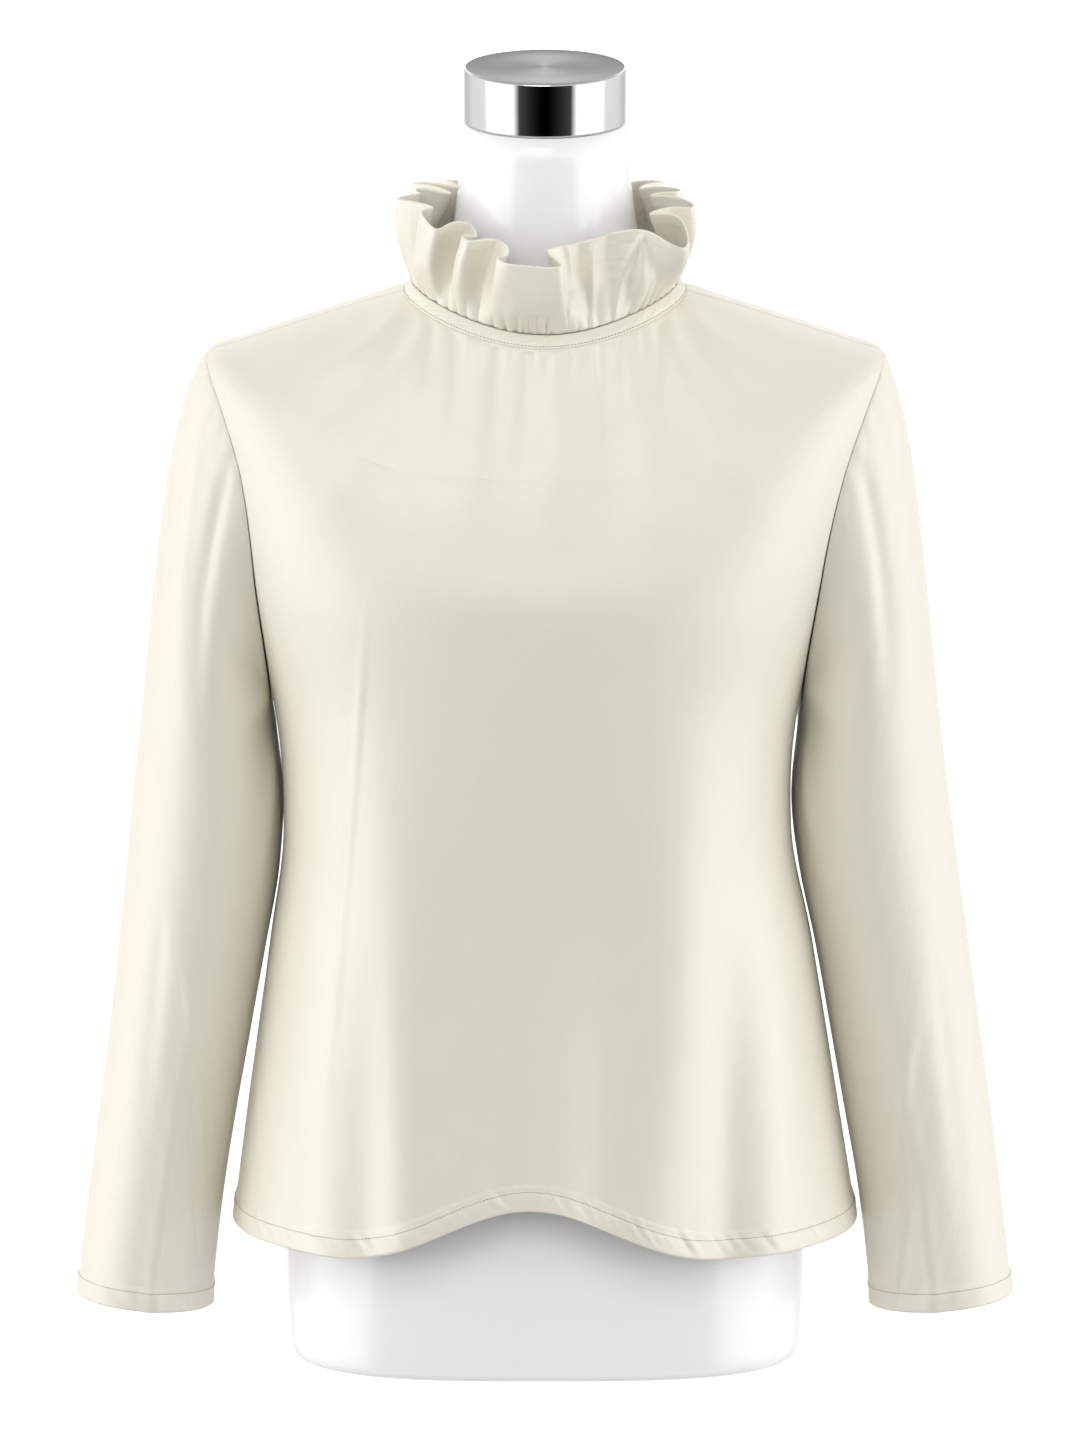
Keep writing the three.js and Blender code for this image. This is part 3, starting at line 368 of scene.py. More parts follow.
def read(rows, key, column, value):
    """One column of a table along another, as a smooth curve through its rows."""
    x, y = rows[key], rows[column]
    gap = np.diff(x)
    rise = np.diff(y) / gap
    inner = (rise[:-1] * gap[1:] + rise[1:] * gap[:-1]) / (gap[:-1] + gap[1:])
    slope = np.concatenate([rise[:1], inner, rise[-1:]])
    i = np.clip(np.searchsorted(x, value) - 1, 0, len(x) - 2)
    t = np.clip((value - x[i]) / gap[i], 0, 1)
    return curve(y[i], gap[i] * slope[i], y[i + 1], gap[i] * slope[i + 1], t)


def section_point(section, around):
    """Point of a superellipse section, at an angle from centre front towards the left."""
    s, c = sind(around), cosd(around)
    depth = np.where(c > 0, section["front"], section["back"])
    centre_z = np.where(c > 0, section["frontZ"], section["backZ"])
    power = section["square"]
    reach = (np.abs(s / section["side"]) ** power + np.abs(c / depth) ** power) ** (-1 / power)
    z = mix(centre_z, section["sideZ"], np.abs(s) ** section["dip"])
    return np.stack([reach * s, -reach * c, z], -1)


def section_at(rings, at):
    return {name: read(rings, "at", name, at) for name in RING_COLUMNS.split()[1:]}


def surface_normal(surface, u, v, step_u, step_v, low=-np.inf, high=np.inf):
    """Unit normal of a surface by small steps, along dv x du."""
    du = surface(u + step_u, v) - surface(u - step_u, v)
    dv = surface(u, np.minimum(high, v + step_v)) - surface(u, np.maximum(low, v - step_v))
    return unit(np.cross(dv, du))


def grid_normals(points, away, closed=False):
    """Unit normals of a grid of points, on the side to which `away` points on the whole."""
    if closed:
        across = np.roll(points, -1, axis=1) - np.roll(points, 1, axis=1)
    else:
        across = np.gradient(points, axis=1)
    normals = unit(np.cross(np.gradient(points, axis=0), across))
    return normals * np.sign(np.sum(normals * away))


def from_axis(points):
    return points * (1, 1, 0)


def outwards_at(around):
    """Level direction away from the body's axis, at an angle from centre front."""
    return np.stack([sind(around), -cosd(around), np.zeros_like(around)], -1)


def lengths_down(points):
    """Distance of each grid point from the first row, along its column."""
    steps = np.linalg.norm(np.diff(points, axis=0), axis=-1)
    return np.vstack([np.zeros((1, points.shape[1])), np.cumsum(steps, axis=0)])


def lengths_across(points, closed=False):
    """Distance of each grid point from the first column, along its row."""
    around = np.concatenate([points, points[:, :1]], axis=1) if closed else points
    steps = np.linalg.norm(np.diff(around, axis=1), axis=-1)
    return np.hstack([np.zeros((points.shape[0], 1)), np.cumsum(steps, axis=1)])


def row_at(value, rows, grids):
    """For each grid, its points at one value of `rows`, which rise down every column."""
    return [np.array([[np.interp(value, rows[:, c], grid[:, c, k]) for k in range(3)]
                      for c in range(grid.shape[1])]) for grid in grids]


def row_above_foot(height, grids):
    """For each grid, its points at a height above its last row, along the cloth."""
    down = lengths_down(grids[0])
    return row_at(height, (down[-1] - down)[::-1], [grid[::-1] for grid in grids])


# ---------------- body of the blouse


def fold_height(folds, x, z):
    total = np.zeros_like(x)
    for top_x, top_z, hem_x, width, height in zip(*folds.values()):
        down = np.clip((top_z - z) / (top_z - HEM_Z), 0, 1)
        line = mix(top_x, hem_x, down)
        total += height * smooth(0, FOLD_FULL_AT, down) * bell(x - line, width)
    return total


def plain_body(around, at):
    point = section_point(section_at(BODY_RINGS, at), around)
    share = np.where(point[..., 0] > 0, read(LEFT_SIDE, "at", "share", at), 1)
    return point * np.stack([share, np.ones_like(share), np.ones_like(share)], -1)


def crease_height(creases, x, z):
    """Height of creases, each narrow and deep at its start and wide and faint at its end."""
    total = np.zeros_like(x)
    for x0, z0, x1, z1, bow, width, height in zip(*creases.values()):
        run = np.array([x1 - x0, z1 - z0])
        length = np.hypot(*run)
        along = ((x - x0) * run[0] + (z - z0) * run[1]) / length ** 2
        share = np.clip(along, 0, 1)
        off = ((z - z0) * run[0] - (x - x0) * run[1]) / length - bow * 4 * share * (1 - share)
        fade = smooth(*CREASE["rise"], along) * (1 - smooth(*CREASE["fade"], along))
        total += height * fade * bell(off, width * (CREASE["start"] + CREASE["spread"] * share))
    return total


def gather_height(gathers, x, z, neck_z):
    """Height of the gathers that hang from the binding, from their place along it."""
    total = np.zeros_like(x)
    below = neck_z - z
    for place, lean, length, width, height in zip(*gathers.values()):
        share = np.clip(below / length, 0, 1)
        fade = smooth(*GATHER["rise"], below) * (1 - smooth(*GATHER["fade"], share))
        total += height * fade * bell(x - place - lean * share, width * (GATHER["start"] + share))
    return total


def body_point(around, at):
    around, at = np.broadcast_arrays(np.asarray(around, float), np.asarray(at, float))
    point = plain_body(around, at)
    normal = surface_normal(plain_body, around, at, step_u=0.5, step_v=0.004, low=0, high=1)
    front = cosd(around) > 0
    x, z = point[..., 0], point[..., 2]
    drape = np.where(front, fold_height(FRONT_FOLDS, x, z), fold_height(BACK_FOLDS, x, z))
    drape = drape * smooth(0, DRAPE_EASE, np.abs(cosd(around)))
    point = point + normal * drape[..., None]
    off = np.clip(np.abs(point[..., 0] - HEM_RISE["centre"]) / HEM_RISE["half_width"], 0, 1)
    rise = HEM_RISE["height"] * np.cos(off * np.pi / 2) ** 2 * smooth(HEM_RISE["from"], 1, at)
    point[..., 2] += np.where(front, rise, 0)
    return point


def body_normal(around, at):
    return surface_normal(body_point, around, at, step_u=0.3, step_v=0.002, low=0, high=1)


def panel_edge(at, dip):
    """Angle from the centre line at which a panel ends: the side, or the armhole."""
    u = np.clip((at - TIP_AT) / (UNDERARM_AT - TIP_AT), 0, 1)
    return 90 - dip * np.sqrt(np.sin(np.pi * u).clip(0))


def panel_angle(across, at, dip):
    return 90 * across - (90 - panel_edge(at, dip)) * np.maximum(0, 2 * across - 1) ** 2


def armhole_at(round_):
    return mix(TIP_AT, UNDERARM_AT, (1 - cosd(round_)) / 2)


# Rows of a panel, neck to hem, close together at the gathers and in the turned hem.
PANEL_ROWS = np.concatenate([
    np.linspace(0, 0.1, 34, endpoint=False),
    np.linspace(0.1, TIP_AT, 14, endpoint=False),
    armhole_at(np.linspace(0, 180, 41)),
    np.linspace(UNDERARM_AT, 0.95, 66)[1:],
    np.linspace(0.95, 1, 27)[1:],
])
PANEL_COLUMNS = {"front": 261, "back": 201}


def panel_grid(side):
    """Middle points of a whole panel, seam to seam, and which of its rows end at a seam."""
    front = side == "front"
    across, at = np.meshgrid(np.linspace(-1, 1, PANEL_COLUMNS[side]), PANEL_ROWS)
    hand = np.where(across < 0, -1, 1)
    off = panel_angle(np.abs(across), at, ARMHOLE_DIP[side])
    points = body_point(hand * (off if front else 180 - off), at)
    sewn = (PANEL_ROWS <= TIP_AT + 1e-6) | (PANEL_ROWS >= UNDERARM_AT - 1e-6)
    for edge in (0, -1):
        points[sewn, edge, 1] = (-1 if front else 1) * SEAM_GAP / 2
    return points, sewn


def turned_hem(points, normals, along, waves):
    """Lifts a turned-up hem: a raised band, a pressed stitch line and small slanting puckers."""
    below = lengths_down(points)[-1] - lengths_down(points)
    pucker = np.zeros_like(below)
    for k, (wave, height) in enumerate(waves):
        slant = (along + HEM_PUCKER["lean"] * below) * 2 * np.pi / wave
        pucker += height * np.sin(slant + 1.7 * k * k + 0.4)
    near = bell(below - HEM_DEPTH * HEM_PUCKER["centre"], HEM_PUCKER["width"])
    inner, outer = HEM_BAND["edge"]
    band = HEM_BAND["height"] * (1 - smooth(HEM_DEPTH - inner, HEM_DEPTH + outer, below))
    press = -HEM_PRESS["depth"] * bell(below - HEM_STITCH_LINE, HEM_PRESS["width"])
    return points + normals * (band + press + HEM_PUCKER["height"] * pucker * near)[..., None]


def hem_stitch_run(points, normals, closed=False):
    """The line along which a turned-up hem is stitched, and its normals."""
    line, out = row_above_foot(HEM_STITCH_LINE, (points, normals))
    if closed:
        line, out = (np.concatenate([part, part[:1]]) for part in (line, out))
    return [(line + out * (HEM_WALL / 2 + STITCH["lift"]), out)]


# ---------------- sleeves


def armhole_edge(round_):
    """At an angle round an armhole: if it is the front's, how far down, and the panel's angle."""
    turn = np.mod(round_, 360)
    front = turn <= 180
    at = armhole_at(np.where(front, turn, 360 - turn))
    edge = panel_edge(at, np.where(front, ARMHOLE_DIP["front"], ARMHOLE_DIP["back"]))
    return front, at, edge


def armhole_point(round_, hand, back_off=0.0):
    front, at, edge = armhole_edge(round_)
    angle = edge - back_off
    return body_point(hand * np.where(front, angle, 180 - angle), at)


def sleeve_start(round_, hand):
    below = read(SLEEVE_START, "round", SIDE[hand], round_)
    return np.stack([hand * cosd(below), np.zeros_like(below), -sind(below)], -1)


def sleeve_seam(round_, hand):
    """Start of the sleeve cloth: beside the panel's edge at the shoulder, over it underarm."""
    front, at, edge = armhole_edge(round_)
    around = hand * np.where(front, edge, 180 - edge)
    point, normal = body_point(around, at), body_normal(around, at)
    beside = armhole_point(round_ - ARMHOLE_STEP, hand) - armhole_point(round_ + ARMHOLE_STEP, hand)
    outward = unit(np.cross(beside, normal))
    wrong = np.sum(outward * (point - armhole_point(round_, hand, EDGE_STEP)), -1) < 0
    outward[wrong] *= -1
    ends = np.abs(sind(round_)) < 1e-6
    point[ends, 1] = 0
    normal[ends, 1] = 0
    normal = unit(normal)
    top = ends & ((round_ < 90) | (round_ > 270))
    outward[ends & ~top] = (0, 0, 1)
    outward[top] = unit(body_point(hand * 90, TIP_AT) - body_point(hand * 90, TIP_AT - 0.01))
    turn = np.sum(sleeve_start(round_, hand) * outward, -1)[:, None]
    lap = normal * (CAD_PANEL_WALL + LAP_GAP) * (1 - turn) / 2
    return point + lap + outward * SEAM_GAP * (1 + turn)


def sleeve_section(round_, at, hand):
    """Point of a sleeve below its head, at an angle round it from its outside to the front."""
    columns = (SIDE[hand] + "In", SIDE[hand] + "Out", "y", "z", "halfDepth", "tilt")
    inner, outer, y, z, half_depth, tilt = (read(SLEEVE_RINGS, "at", name, at) for name in columns)
    across = cosd(round_) * (outer - inner) / 2
    crease = SLEEVE_CREASE["height"] * bell(round_ - SLEEVE_CREASE["round"], SLEEVE_CREASE["width"])
    crease = crease * smooth(SLEEVE_CREASE["from"], 1, at)
    tuck = SLEEVE_TUCK["depth"] * bell(round_ - SLEEVE_TUCK["round"], SLEEVE_TUCK["width"])
    tuck = tuck * (1 - smooth(*SLEEVE_TUCK[SIDE[hand]], at))
    return np.stack([
        hand * ((inner + outer) / 2 + across * cosd(tilt) - tuck),
        y - sind(round_) * (half_depth + crease),
        z + across * sind(tilt),
    ], -1)


# Ways down a sleeve: its head from -1 to 0, then its sections from 0 to the cuff's edge at 1.
SLEEVE_DOWNS = np.concatenate([
    np.linspace(-1, -0.8, 16, endpoint=False),
    np.linspace(-0.8, 0, 42, endpoint=False),
    np.linspace(0, 0.93, 62, endpoint=False),
    np.linspace(0.93, 1, 22),
])
SLEEVE_COLUMNS = 200
SLEEVE_ROUND = np.arange(SLEEVE_COLUMNS) * 360 / SLEEVE_COLUMNS


def sleeve_grid(hand):
    """Middle points of a sleeve, its head curving from the armhole into the first section."""
    start = sleeve_seam(SLEEVE_ROUND, hand)
    end = sleeve_section(SLEEVE_ROUND, np.zeros_like(SLEEVE_ROUND), hand)
    below = sleeve_section(SLEEVE_ROUND, np.full_like(SLEEVE_ROUND, 0.02), hand)
    reach = np.linalg.norm(start - end, axis=-1, keepdims=True)
    start_pull = sleeve_start(SLEEVE_ROUND, hand) * reach * SLEEVE_PULL["start"]
    end_pull = unit(below - end) * reach * SLEEVE_PULL["end"]
    rows = []
    for down in SLEEVE_DOWNS:
        if down < 0:
            rows.append(curve(start, start_pull, end, end_pull, down + 1))
        else:
            rows.append(sleeve_section(SLEEVE_ROUND, np.full_like(SLEEVE_ROUND, down), hand))
    return np.array(rows)


# ---------------- neck


def neck_ring(around, down):
    """Point of the binding, from the neck seam (down 0) to the panels' edge (down 1)."""
    around, down = np.broadcast_arrays(np.asarray(around, float), np.asarray(down, float))
    seam = section_point(NECK_SEAM, around)
    body = body_point(around, np.zeros_like(around))
    return mix(seam, body, down[..., None])


def ruffle_gather(seam, up):
    """Height of the small pinched gathers that rise from the ruffle's seam, uneven all round."""
    turn = np.radians(seam)
    phase = turn * RUFFLE_GATHERS
    for height, count, start in RUFFLE_GATHER["sway"]:
        phase = phase + height * np.sin(count * turn + start)
    mean, swing = RUFFLE_GATHER["strength"]
    strength = mean + swing * np.sin(7 * turn + 1.1) * np.sin(3 * turn - 0.4)
    mean, swing = RUFFLE_GATHER["reach"]
    reach = mean + swing * np.sin(9 * turn + 0.5)
    calm = 1
    for place in RUFFLE_GATHER["calm_at"]:
        calm = calm - RUFFLE_GATHER["calm"] * bell(seam - place, RUFFLE_GATHER["calm_width"])
    height, power, sink = RUFFLE_GATHER["pinch"]
    pinch = height * np.abs(np.sin(phase / 2)) ** power - sink
    return strength * calm * pinch * (1 - smooth(0.02, 1, up / reach))


def ruffle_point(along, up):
    """Point of the ruffle, along its bends and from its seam (up 0) to its free edge (up 1)."""
    seam, x, y = (read(RUFFLE_BENDS, "index", name, along) for name in ("seam", "x", "y"))
    base = section_point(NECK_SEAM, seam)
    under = section_point(NECK_SEAM, np.degrees(np.arctan2(x, -y)))
    lean = np.hypot(x, y) - np.hypot(under[..., 0], under[..., 1])
    rise = np.sqrt(RUFFLE_WIDTH ** 2 - lean ** 2)
    turned = mix(up, up * up * (3 - 2 * up), RUFFLE_TURN)
    point = np.stack([mix(base[..., 0], x, turned), mix(base[..., 1], y, turned),
                      mix(base[..., 2], under[..., 2], turned) + mix(RUFFLE_SEAT, rise, up)], -1)
    bulge = RUFFLE_BULGE["upright"] + RUFFLE_BULGE["leaning"] * np.tanh(lean / RUFFLE_BULGE["lean"])
    relief = bulge * np.sin(np.pi * up) + ruffle_gather(seam, up)
    tucks = np.zeros_like(up)
    for place, width, height, reach in zip(*RUFFLE_TUCKS.values()):
        tucks = tucks + height * bell(seam - place, width) * np.sin(np.pi * np.clip(up / reach, 0, 1))
    return point + outwards_at(seam) * (relief + tucks)[..., None]


# ---------------- materials


def plug(tree, node, inputs):
    """Sets a node's inputs: sockets are linked, and all else is set as a value."""
    for key, value in inputs.items():
        if isinstance(value, bpy.types.NodeSocket):
            tree.links.new(value, node.inputs[key])
        else:
            node.inputs[key].default_value = value


def add_node(tree, kind, inputs=None, **settings):
    """A shader node with its settings and inputs."""
    node = tree.nodes.new(kind)
    for key, value in settings.items():
        setattr(node, key, value)
    plug(tree, node, inputs or {})
    return node


def colour_ramp(tree, value, stops):
    """A colour by a value, from pairs of position and colour."""
    node = add_node(tree, "ShaderNodeValToRGB", {"Fac": value})
    elements = node.color_ramp.elements
    while len(elements) < len(stops):
        elements.new(0.5)
    for element, (position, colour) in zip(elements, stops):
        element.position = position
        element.color = (*colour, 1)
    return node.outputs["Color"]


class Look:
    """A material in the making, and the coordinates that its patterns follow."""

    def __init__(self, name, space="Object"):
        self.material = bpy.data.materials.new(name)
        self.material.use_nodes = True
        self.tree = self.material.node_tree
        self.place = self.node("ShaderNodeTexCoord").outputs[space]

    def node(self, kind, inputs=None, **settings):
        return add_node(self.tree, kind, inputs, **settings)

    def moved(self, **inputs):
        """The coordinates, moved or stretched."""
        return self.node("ShaderNodeMapping", {"Vector": self.place, **inputs}).outputs["Vector"]

    def noise(self, scale, detail=2.0, **inputs):
        inputs = {"Vector": self.place, "Scale": scale, "Detail": detail, **inputs}
        return self.node("ShaderNodeTexNoise", inputs).outputs["Fac"]

    def wave(self, inputs, **settings):
        return self.node("ShaderNodeTexWave", {"Vector": self.place, **inputs}, **settings).outputs["Fac"]

    def tone(self, value, dark, light, start=0.0, end=1.0):
        """A colour between two, by a value."""
        return colour_ramp(self.tree, value, ((start, dark), (end, light)))

    def bump(self, height, strength, distance, **inputs):
        inputs = {"Height": height, "Strength": strength, "Distance": distance, **inputs}
        return self.node("ShaderNodeBump", inputs).outputs["Normal"]

    def between(self, value, low, high):
        """A level between two, by a value from 0 to 1."""
        inputs = {"Value": value, "To Min": low, "To Max": high}
        return self.node("ShaderNodeMapRange", inputs).outputs["Result"]

    def finish(self, inputs):
        plug(self.tree, self.tree.nodes["Principled BSDF"], inputs)
        return self.material


def cloth_material():
    """Fine satin crepe: crossing threads, pebbled crepe grain and a faint unevenness of colour."""
    look = Look("satin_crepe", "UV")
    warp, weft = (look.wave({"Scale": scale, "Distortion": 1.2, "Detail": 1.0, "Detail Scale": 2.0},
                            wave_type="BANDS", bands_direction=way)
                  for scale, way in ((420, "X"), (360, "Y")))
    threads = look.node("ShaderNodeMath", {0: warp, 1: weft}, operation="MAXIMUM").outputs[0]
    pebble = look.noise(900, 3)
    slub = look.noise(1, Vector=look.moved(Scale=(700, 60, 1)))
    cloud = look.noise(28, 3)
    uneven = look.node("ShaderNodeMix", {0: 0.5, 2: slub, 3: cloud}, data_type="FLOAT").outputs[0]
    weave = look.bump(threads, 0.22, 0.00012)
    crepe = look.bump(pebble, 0.3, 0.00025, Normal=weave)
    return look.finish({
        "Base Color": look.tone(uneven, (0.76, 0.724, 0.616), (0.78, 0.746, 0.64), 0.3, 0.7),
        "Normal": look.bump(cloud, 0.35, 0.002, Normal=crepe),
        "Roughness": look.between(pebble, 0.43, 0.53),
        "Specular IOR Level": 1.0,
        "IOR": 1.72,
        "Sheen Weight": 0.2,
        "Sheen Roughness": 0.4,
    })


def thread_material(name, dark, light):
    """Twisted polyester sewing thread, sunk in the cloth."""
    look = Look(name)
    twist = look.wave({"Scale": 1400, "Distortion": 0.5}, bands_direction="DIAGONAL")
    return look.finish({
        "Base Color": look.tone(twist, dark, light),
        "Normal": look.bump(twist, 0.3, 0.00005),
        "Roughness": 0.45,
    })


def form_material():
    """Glossy white shell, with the faint ripple of a sprayed finish."""
    look = Look("gloss_white_shell")
    patch = look.noise(6)
    return look.finish({
        "Base Color": look.tone(patch, (0.90, 0.90, 0.903), (0.93, 0.93, 0.933)),
        "Normal": look.bump(look.noise(90, 1), 0.05, 0.0004),
        "Roughness": look.between(patch, 0.14, 0.22),
        "Coat Weight": 0.4,
        "Coat Roughness": 0.08,
    })


def chrome_material():
    """Polished chrome of the cap's band."""
    look = Look("polished_chrome")
    return look.finish({
        "Base Color": (0.55, 0.556, 0.554, 1),
        "Roughness": look.between(look.noise(45, 3), 0.04, 0.09),
        "Metallic": 1.0,
    })


def spun_material():
    """Top of the cap: metal spun to fine rings, which spreads the light across them."""
    look = Look("spun_metal")
    rings = look.wave({"Vector": look.moved(Location=tuple(-AXIS)), "Scale": 700, "Distortion": 1.5,
                       "Detail": 2.0}, wave_type="RINGS", rings_direction="Z")
    return look.finish({
        "Base Color": look.tone(rings, (0.145, 0.145, 0.147), (0.18, 0.18, 0.182)),
        "Normal": look.bump(rings, 0.08, 0.00005),
        "Tangent": look.node("ShaderNodeTangent", direction_type="RADIAL", axis="Z").outputs["Tangent"],
        "Metallic": 1.0,
        "Roughness": 0.34,
        "Anisotropic": 0.6,
    })


def pearl_material():
    """Pearly button, clouded under a clear coat."""
    look = Look("pearl")
    cloud = look.noise(500, Distortion=2.0)
    return look.finish({
        "Base Color": look.tone(cloud, (0.72, 0.68, 0.60), (0.90, 0.88, 0.83)),
        "Roughness": 0.22,
        "Coat Weight": 0.5,
    })


def floor_material():
    """Pale matt floor, lit a little from within so that it stays even."""
    look = Look("pale_floor")
    return look.finish({
        "Base Color": look.tone(look.noise(3), (0.93, 0.93, 0.93), (0.95, 0.95, 0.95)),
        "Roughness": 0.9,
        "Specular IOR Level": 0.1,
        "Emission Color": (1, 1, 1, 1),
        "Emission Strength": 0.55,
    })


CLOTH = cloth_material()
# The dark tan of this thread is partly the thread's own tone and partly painted shade of the small dimples
# that the stitches sink into.
THREAD = thread_material("sewing_thread", (0.27, 0.225, 0.155), (0.4, 0.345, 0.255))
PALE_THREAD = thread_material("pale_sewing_thread", (0.66, 0.62, 0.52), (0.76, 0.72, 0.62))


# ---------------- meshes


def new_object(name, points, faces, corner_uvs, materials):
    """A smooth mesh object. points are millimetres on the body's axis; one uv pair a corner."""
    mesh = bpy.data.meshes.new(name)
    mesh.from_pydata((np.asarray(points) / 1000 + AXIS).tolist(), [], faces)
    if corner_uvs is not None:
        layer = mesh.uv_layers.new(name="UVMap")
        layer.data.foreach_set("uv", np.asarray(corner_uvs, float).ravel() / 1000)
    mesh.polygons.foreach_set("use_smooth", [True] * len(mesh.polygons))
    for material in materials:
        mesh.materials.append(material)
    mesh.update()
    piece = bpy.data.objects.new(name, mesh)
    bpy.context.scene.collection.objects.link(piece)
    return piece


def finished(piece, slot, *nodes):
    """Hangs the piece on the root empty and hides the solids that it stands for. The slot argument is not
    used.
    """
    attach(piece, "root")
    if nodes:
        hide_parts(*nodes)
    return piece


class Shell:
    """Closed cloth on grids of middle points: outside, rounded foot, inside, rounded head."""

    def __init__(self):
        self.points, self.quads, self.quad_uvs = [], [], []
        self.triangles, self.triangle_uvs = [], []
        self.count = 0

    def add(self, centre, normals, wall, closed=False, cut=(None, None)):
        """Adds one grid. Each open side gets a wall, all the way or only down to its cut row."""
        rows, columns = centre.shape[:2]
        wall = np.broadcast_to(wall, (rows, columns))[..., None]
        outer, inner = centre + normals * wall / 2, centre - normals * wall / 2
        foot = centre[-1:] + unit(centre[-1:] - centre[-2:-1]) * wall[-1:] * ROUNDING
        head = centre[:1] + unit(centre[:1] - centre[1:2]) * wall[:1] * ROUNDING
        loop = np.concatenate([outer, foot, inner[::-1], head])
        down = lengths_down(centre)
        if closed:
            down = np.hstack([down, down[:, :1]])
        flat = np.stack([lengths_across(centre, closed), down], -1)
        flat = np.concatenate([flat, flat[-1:], flat[::-1], flat[:1]])
        total = len(loop)
        r = np.arange(total)[:, None]
        c = np.arange(columns if closed else columns - 1)[None, :]
        r, c = (part.ravel() for part in np.broadcast_arrays(r, c))
        below, beside = (r + 1) % total, (c + 1) % columns
        quads = np.stack([r * columns + c, below * columns + c,
                          below * columns + beside, r * columns + beside], -1)
        uvs = np.stack([flat[r, c], flat[below, c], flat[below, c + 1], flat[r, c + 1]], 1)
        self.quads.append(quads + self.count)
        self.quad_uvs.append(uvs)
        if not closed:
            self.close_side(flat, rows, columns, 0, cut[0])
            self.close_side(flat, rows, columns, columns - 1, cut[1])
        self.points.append(loop.reshape(-1, 3))
        self.count += total * columns

    def close_side(self, flat, rows, columns, column, cut):
        """Adds the wall at one side of the last grid, down to a cut row if there is one."""
        i = np.arange(rows - 1 if cut is None else cut)
        mate = 2 * rows - i
        side = np.stack([i + 1, i, mate, mate - 1], -1)
        ends = [[0, 2 * rows + 1, 2 * rows]]
        if cut is None:
            ends.append([rows + 1, rows, rows - 1])
        ends = np.array(ends)
        if column:
            side, ends = side[:, ::-1], ends[:, ::-1]
        self.quads.append(side * columns + column + self.count)
        self.quad_uvs.append(flat[side, column])
        self.triangles.append(ends * columns + column + self.count)
        self.triangle_uvs.append(flat[ends, column])

    def build(self, name, materials):
        """The mesh object, its faces turned outwards."""
        points, quads = np.concatenate(self.points), np.concatenate(self.quads)
        faces = [quads]
        uvs = [np.concatenate(self.quad_uvs).reshape(-1, 2)]
        if self.triangles:
            faces.append(np.concatenate(self.triangles))
            uvs.append(np.concatenate(self.triangle_uvs).reshape(-1, 2))
        a, b, c, d = (points[quads[:, k]] for k in range(4))
        volume = np.sum(a * np.cross(b, c)) + np.sum(a * np.cross(c, d))
        if volume < 0:
            faces = [part[:, ::-1] for part in faces]
            uvs = [part.reshape(len(face), -1, 2)[:, ::-1].reshape(-1, 2)
                   for part, face in zip(uvs, faces)]
        rows = [face for part in faces for face in part.tolist()]
        return new_object(name, points, rows, np.concatenate(uvs), materials)


def merge_doubles(piece):
    """Joins points that lie on each other, where grids meet."""
    mesh = bmesh.new()
    mesh.from_mesh(piece.data)
    bmesh.ops.remove_doubles(mesh, verts=mesh.verts, dist=1e-6)
    mesh.to_mesh(piece.data)
    mesh.free()


def stitch_run(line, normals):
    """Places, directions and normals of evenly spaced stitches along a line."""
    length = np.concatenate([[0], np.cumsum(np.linalg.norm(np.diff(line, axis=0), axis=1))])
    count = max(1, int(length[-1] / STITCH["pitch"]))
    at = (np.arange(count) + 0.5) * length[-1] / count

    def along(values, where):
        return np.stack([np.interp(where, length, values[:, k]) for k in range(3)], -1)

    reach = STITCH["length"] / 2
    ahead = unit(along(line, at + reach) - along(line, at - reach))
    return along(line, at), ahead, unit(along(normals, at))


def stitches(name, runs, radius=STITCH["radius"], material=THREAD):
    """One mesh of small rounded thread stitches that dip into the cloth at both ends."""
    place, ahead, normal = (np.concatenate(part) for part in zip(*[stitch_run(*run) for run in runs]))
    beside = unit(np.cross(normal, ahead))
    turns = 2 * np.pi * np.arange(STITCH_SIDES) / STITCH_SIDES
    rings = []
    for reach, thick, rise in STITCH_RINGS:
        middle = place + ahead * reach * STITCH["length"] / 2 + normal * rise * radius
        circle = (np.cos(turns)[:, None, None] * beside + np.sin(turns)[:, None, None] * normal)
        rings.append(middle + circle * thick * radius)
    points = np.array(rings).transpose(2, 0, 1, 3)
    each = len(STITCH_RINGS) * STITCH_SIDES
    faces = []
    for ring in range(len(STITCH_RINGS) - 1):
        for side in range(STITCH_SIDES):
            other = (side + 1) % STITCH_SIDES
            faces.append([ring * STITCH_SIDES + side, ring * STITCH_SIDES + other,
                          (ring + 1) * STITCH_SIDES + other, (ring + 1) * STITCH_SIDES + side])
    caps = [list(range(STITCH_SIDES))[::-1], list(range(each - STITCH_SIDES, each))]
    every = [[v + k * each for v in face] for k in range(len(place)) for face in faces + caps]
    piece = new_object(name, points.reshape(-1, 3), every, None, [material])
    return finished(piece, "blouse_cloth")


# ---------------- pieces of the blouse


def sewn_edge(beside, sink, width, rise_at):
    """Relief beside a seam: the cloth sinks into it, and rises a little next to it."""
    return SEAM_ROLL["rise"] * bell(beside - rise_at, SEAM_ROLL["width"]) - sink * bell(beside, width)


def facing_out(points, sewn):
    """Unit normals of a panel's grid, away from the body and square to the sewn edges."""
    normals = grid_normals(points, from_axis(points))
    for edge in (0, -1):
        normals[sewn, edge, 1] = 0
    return unit(normals)


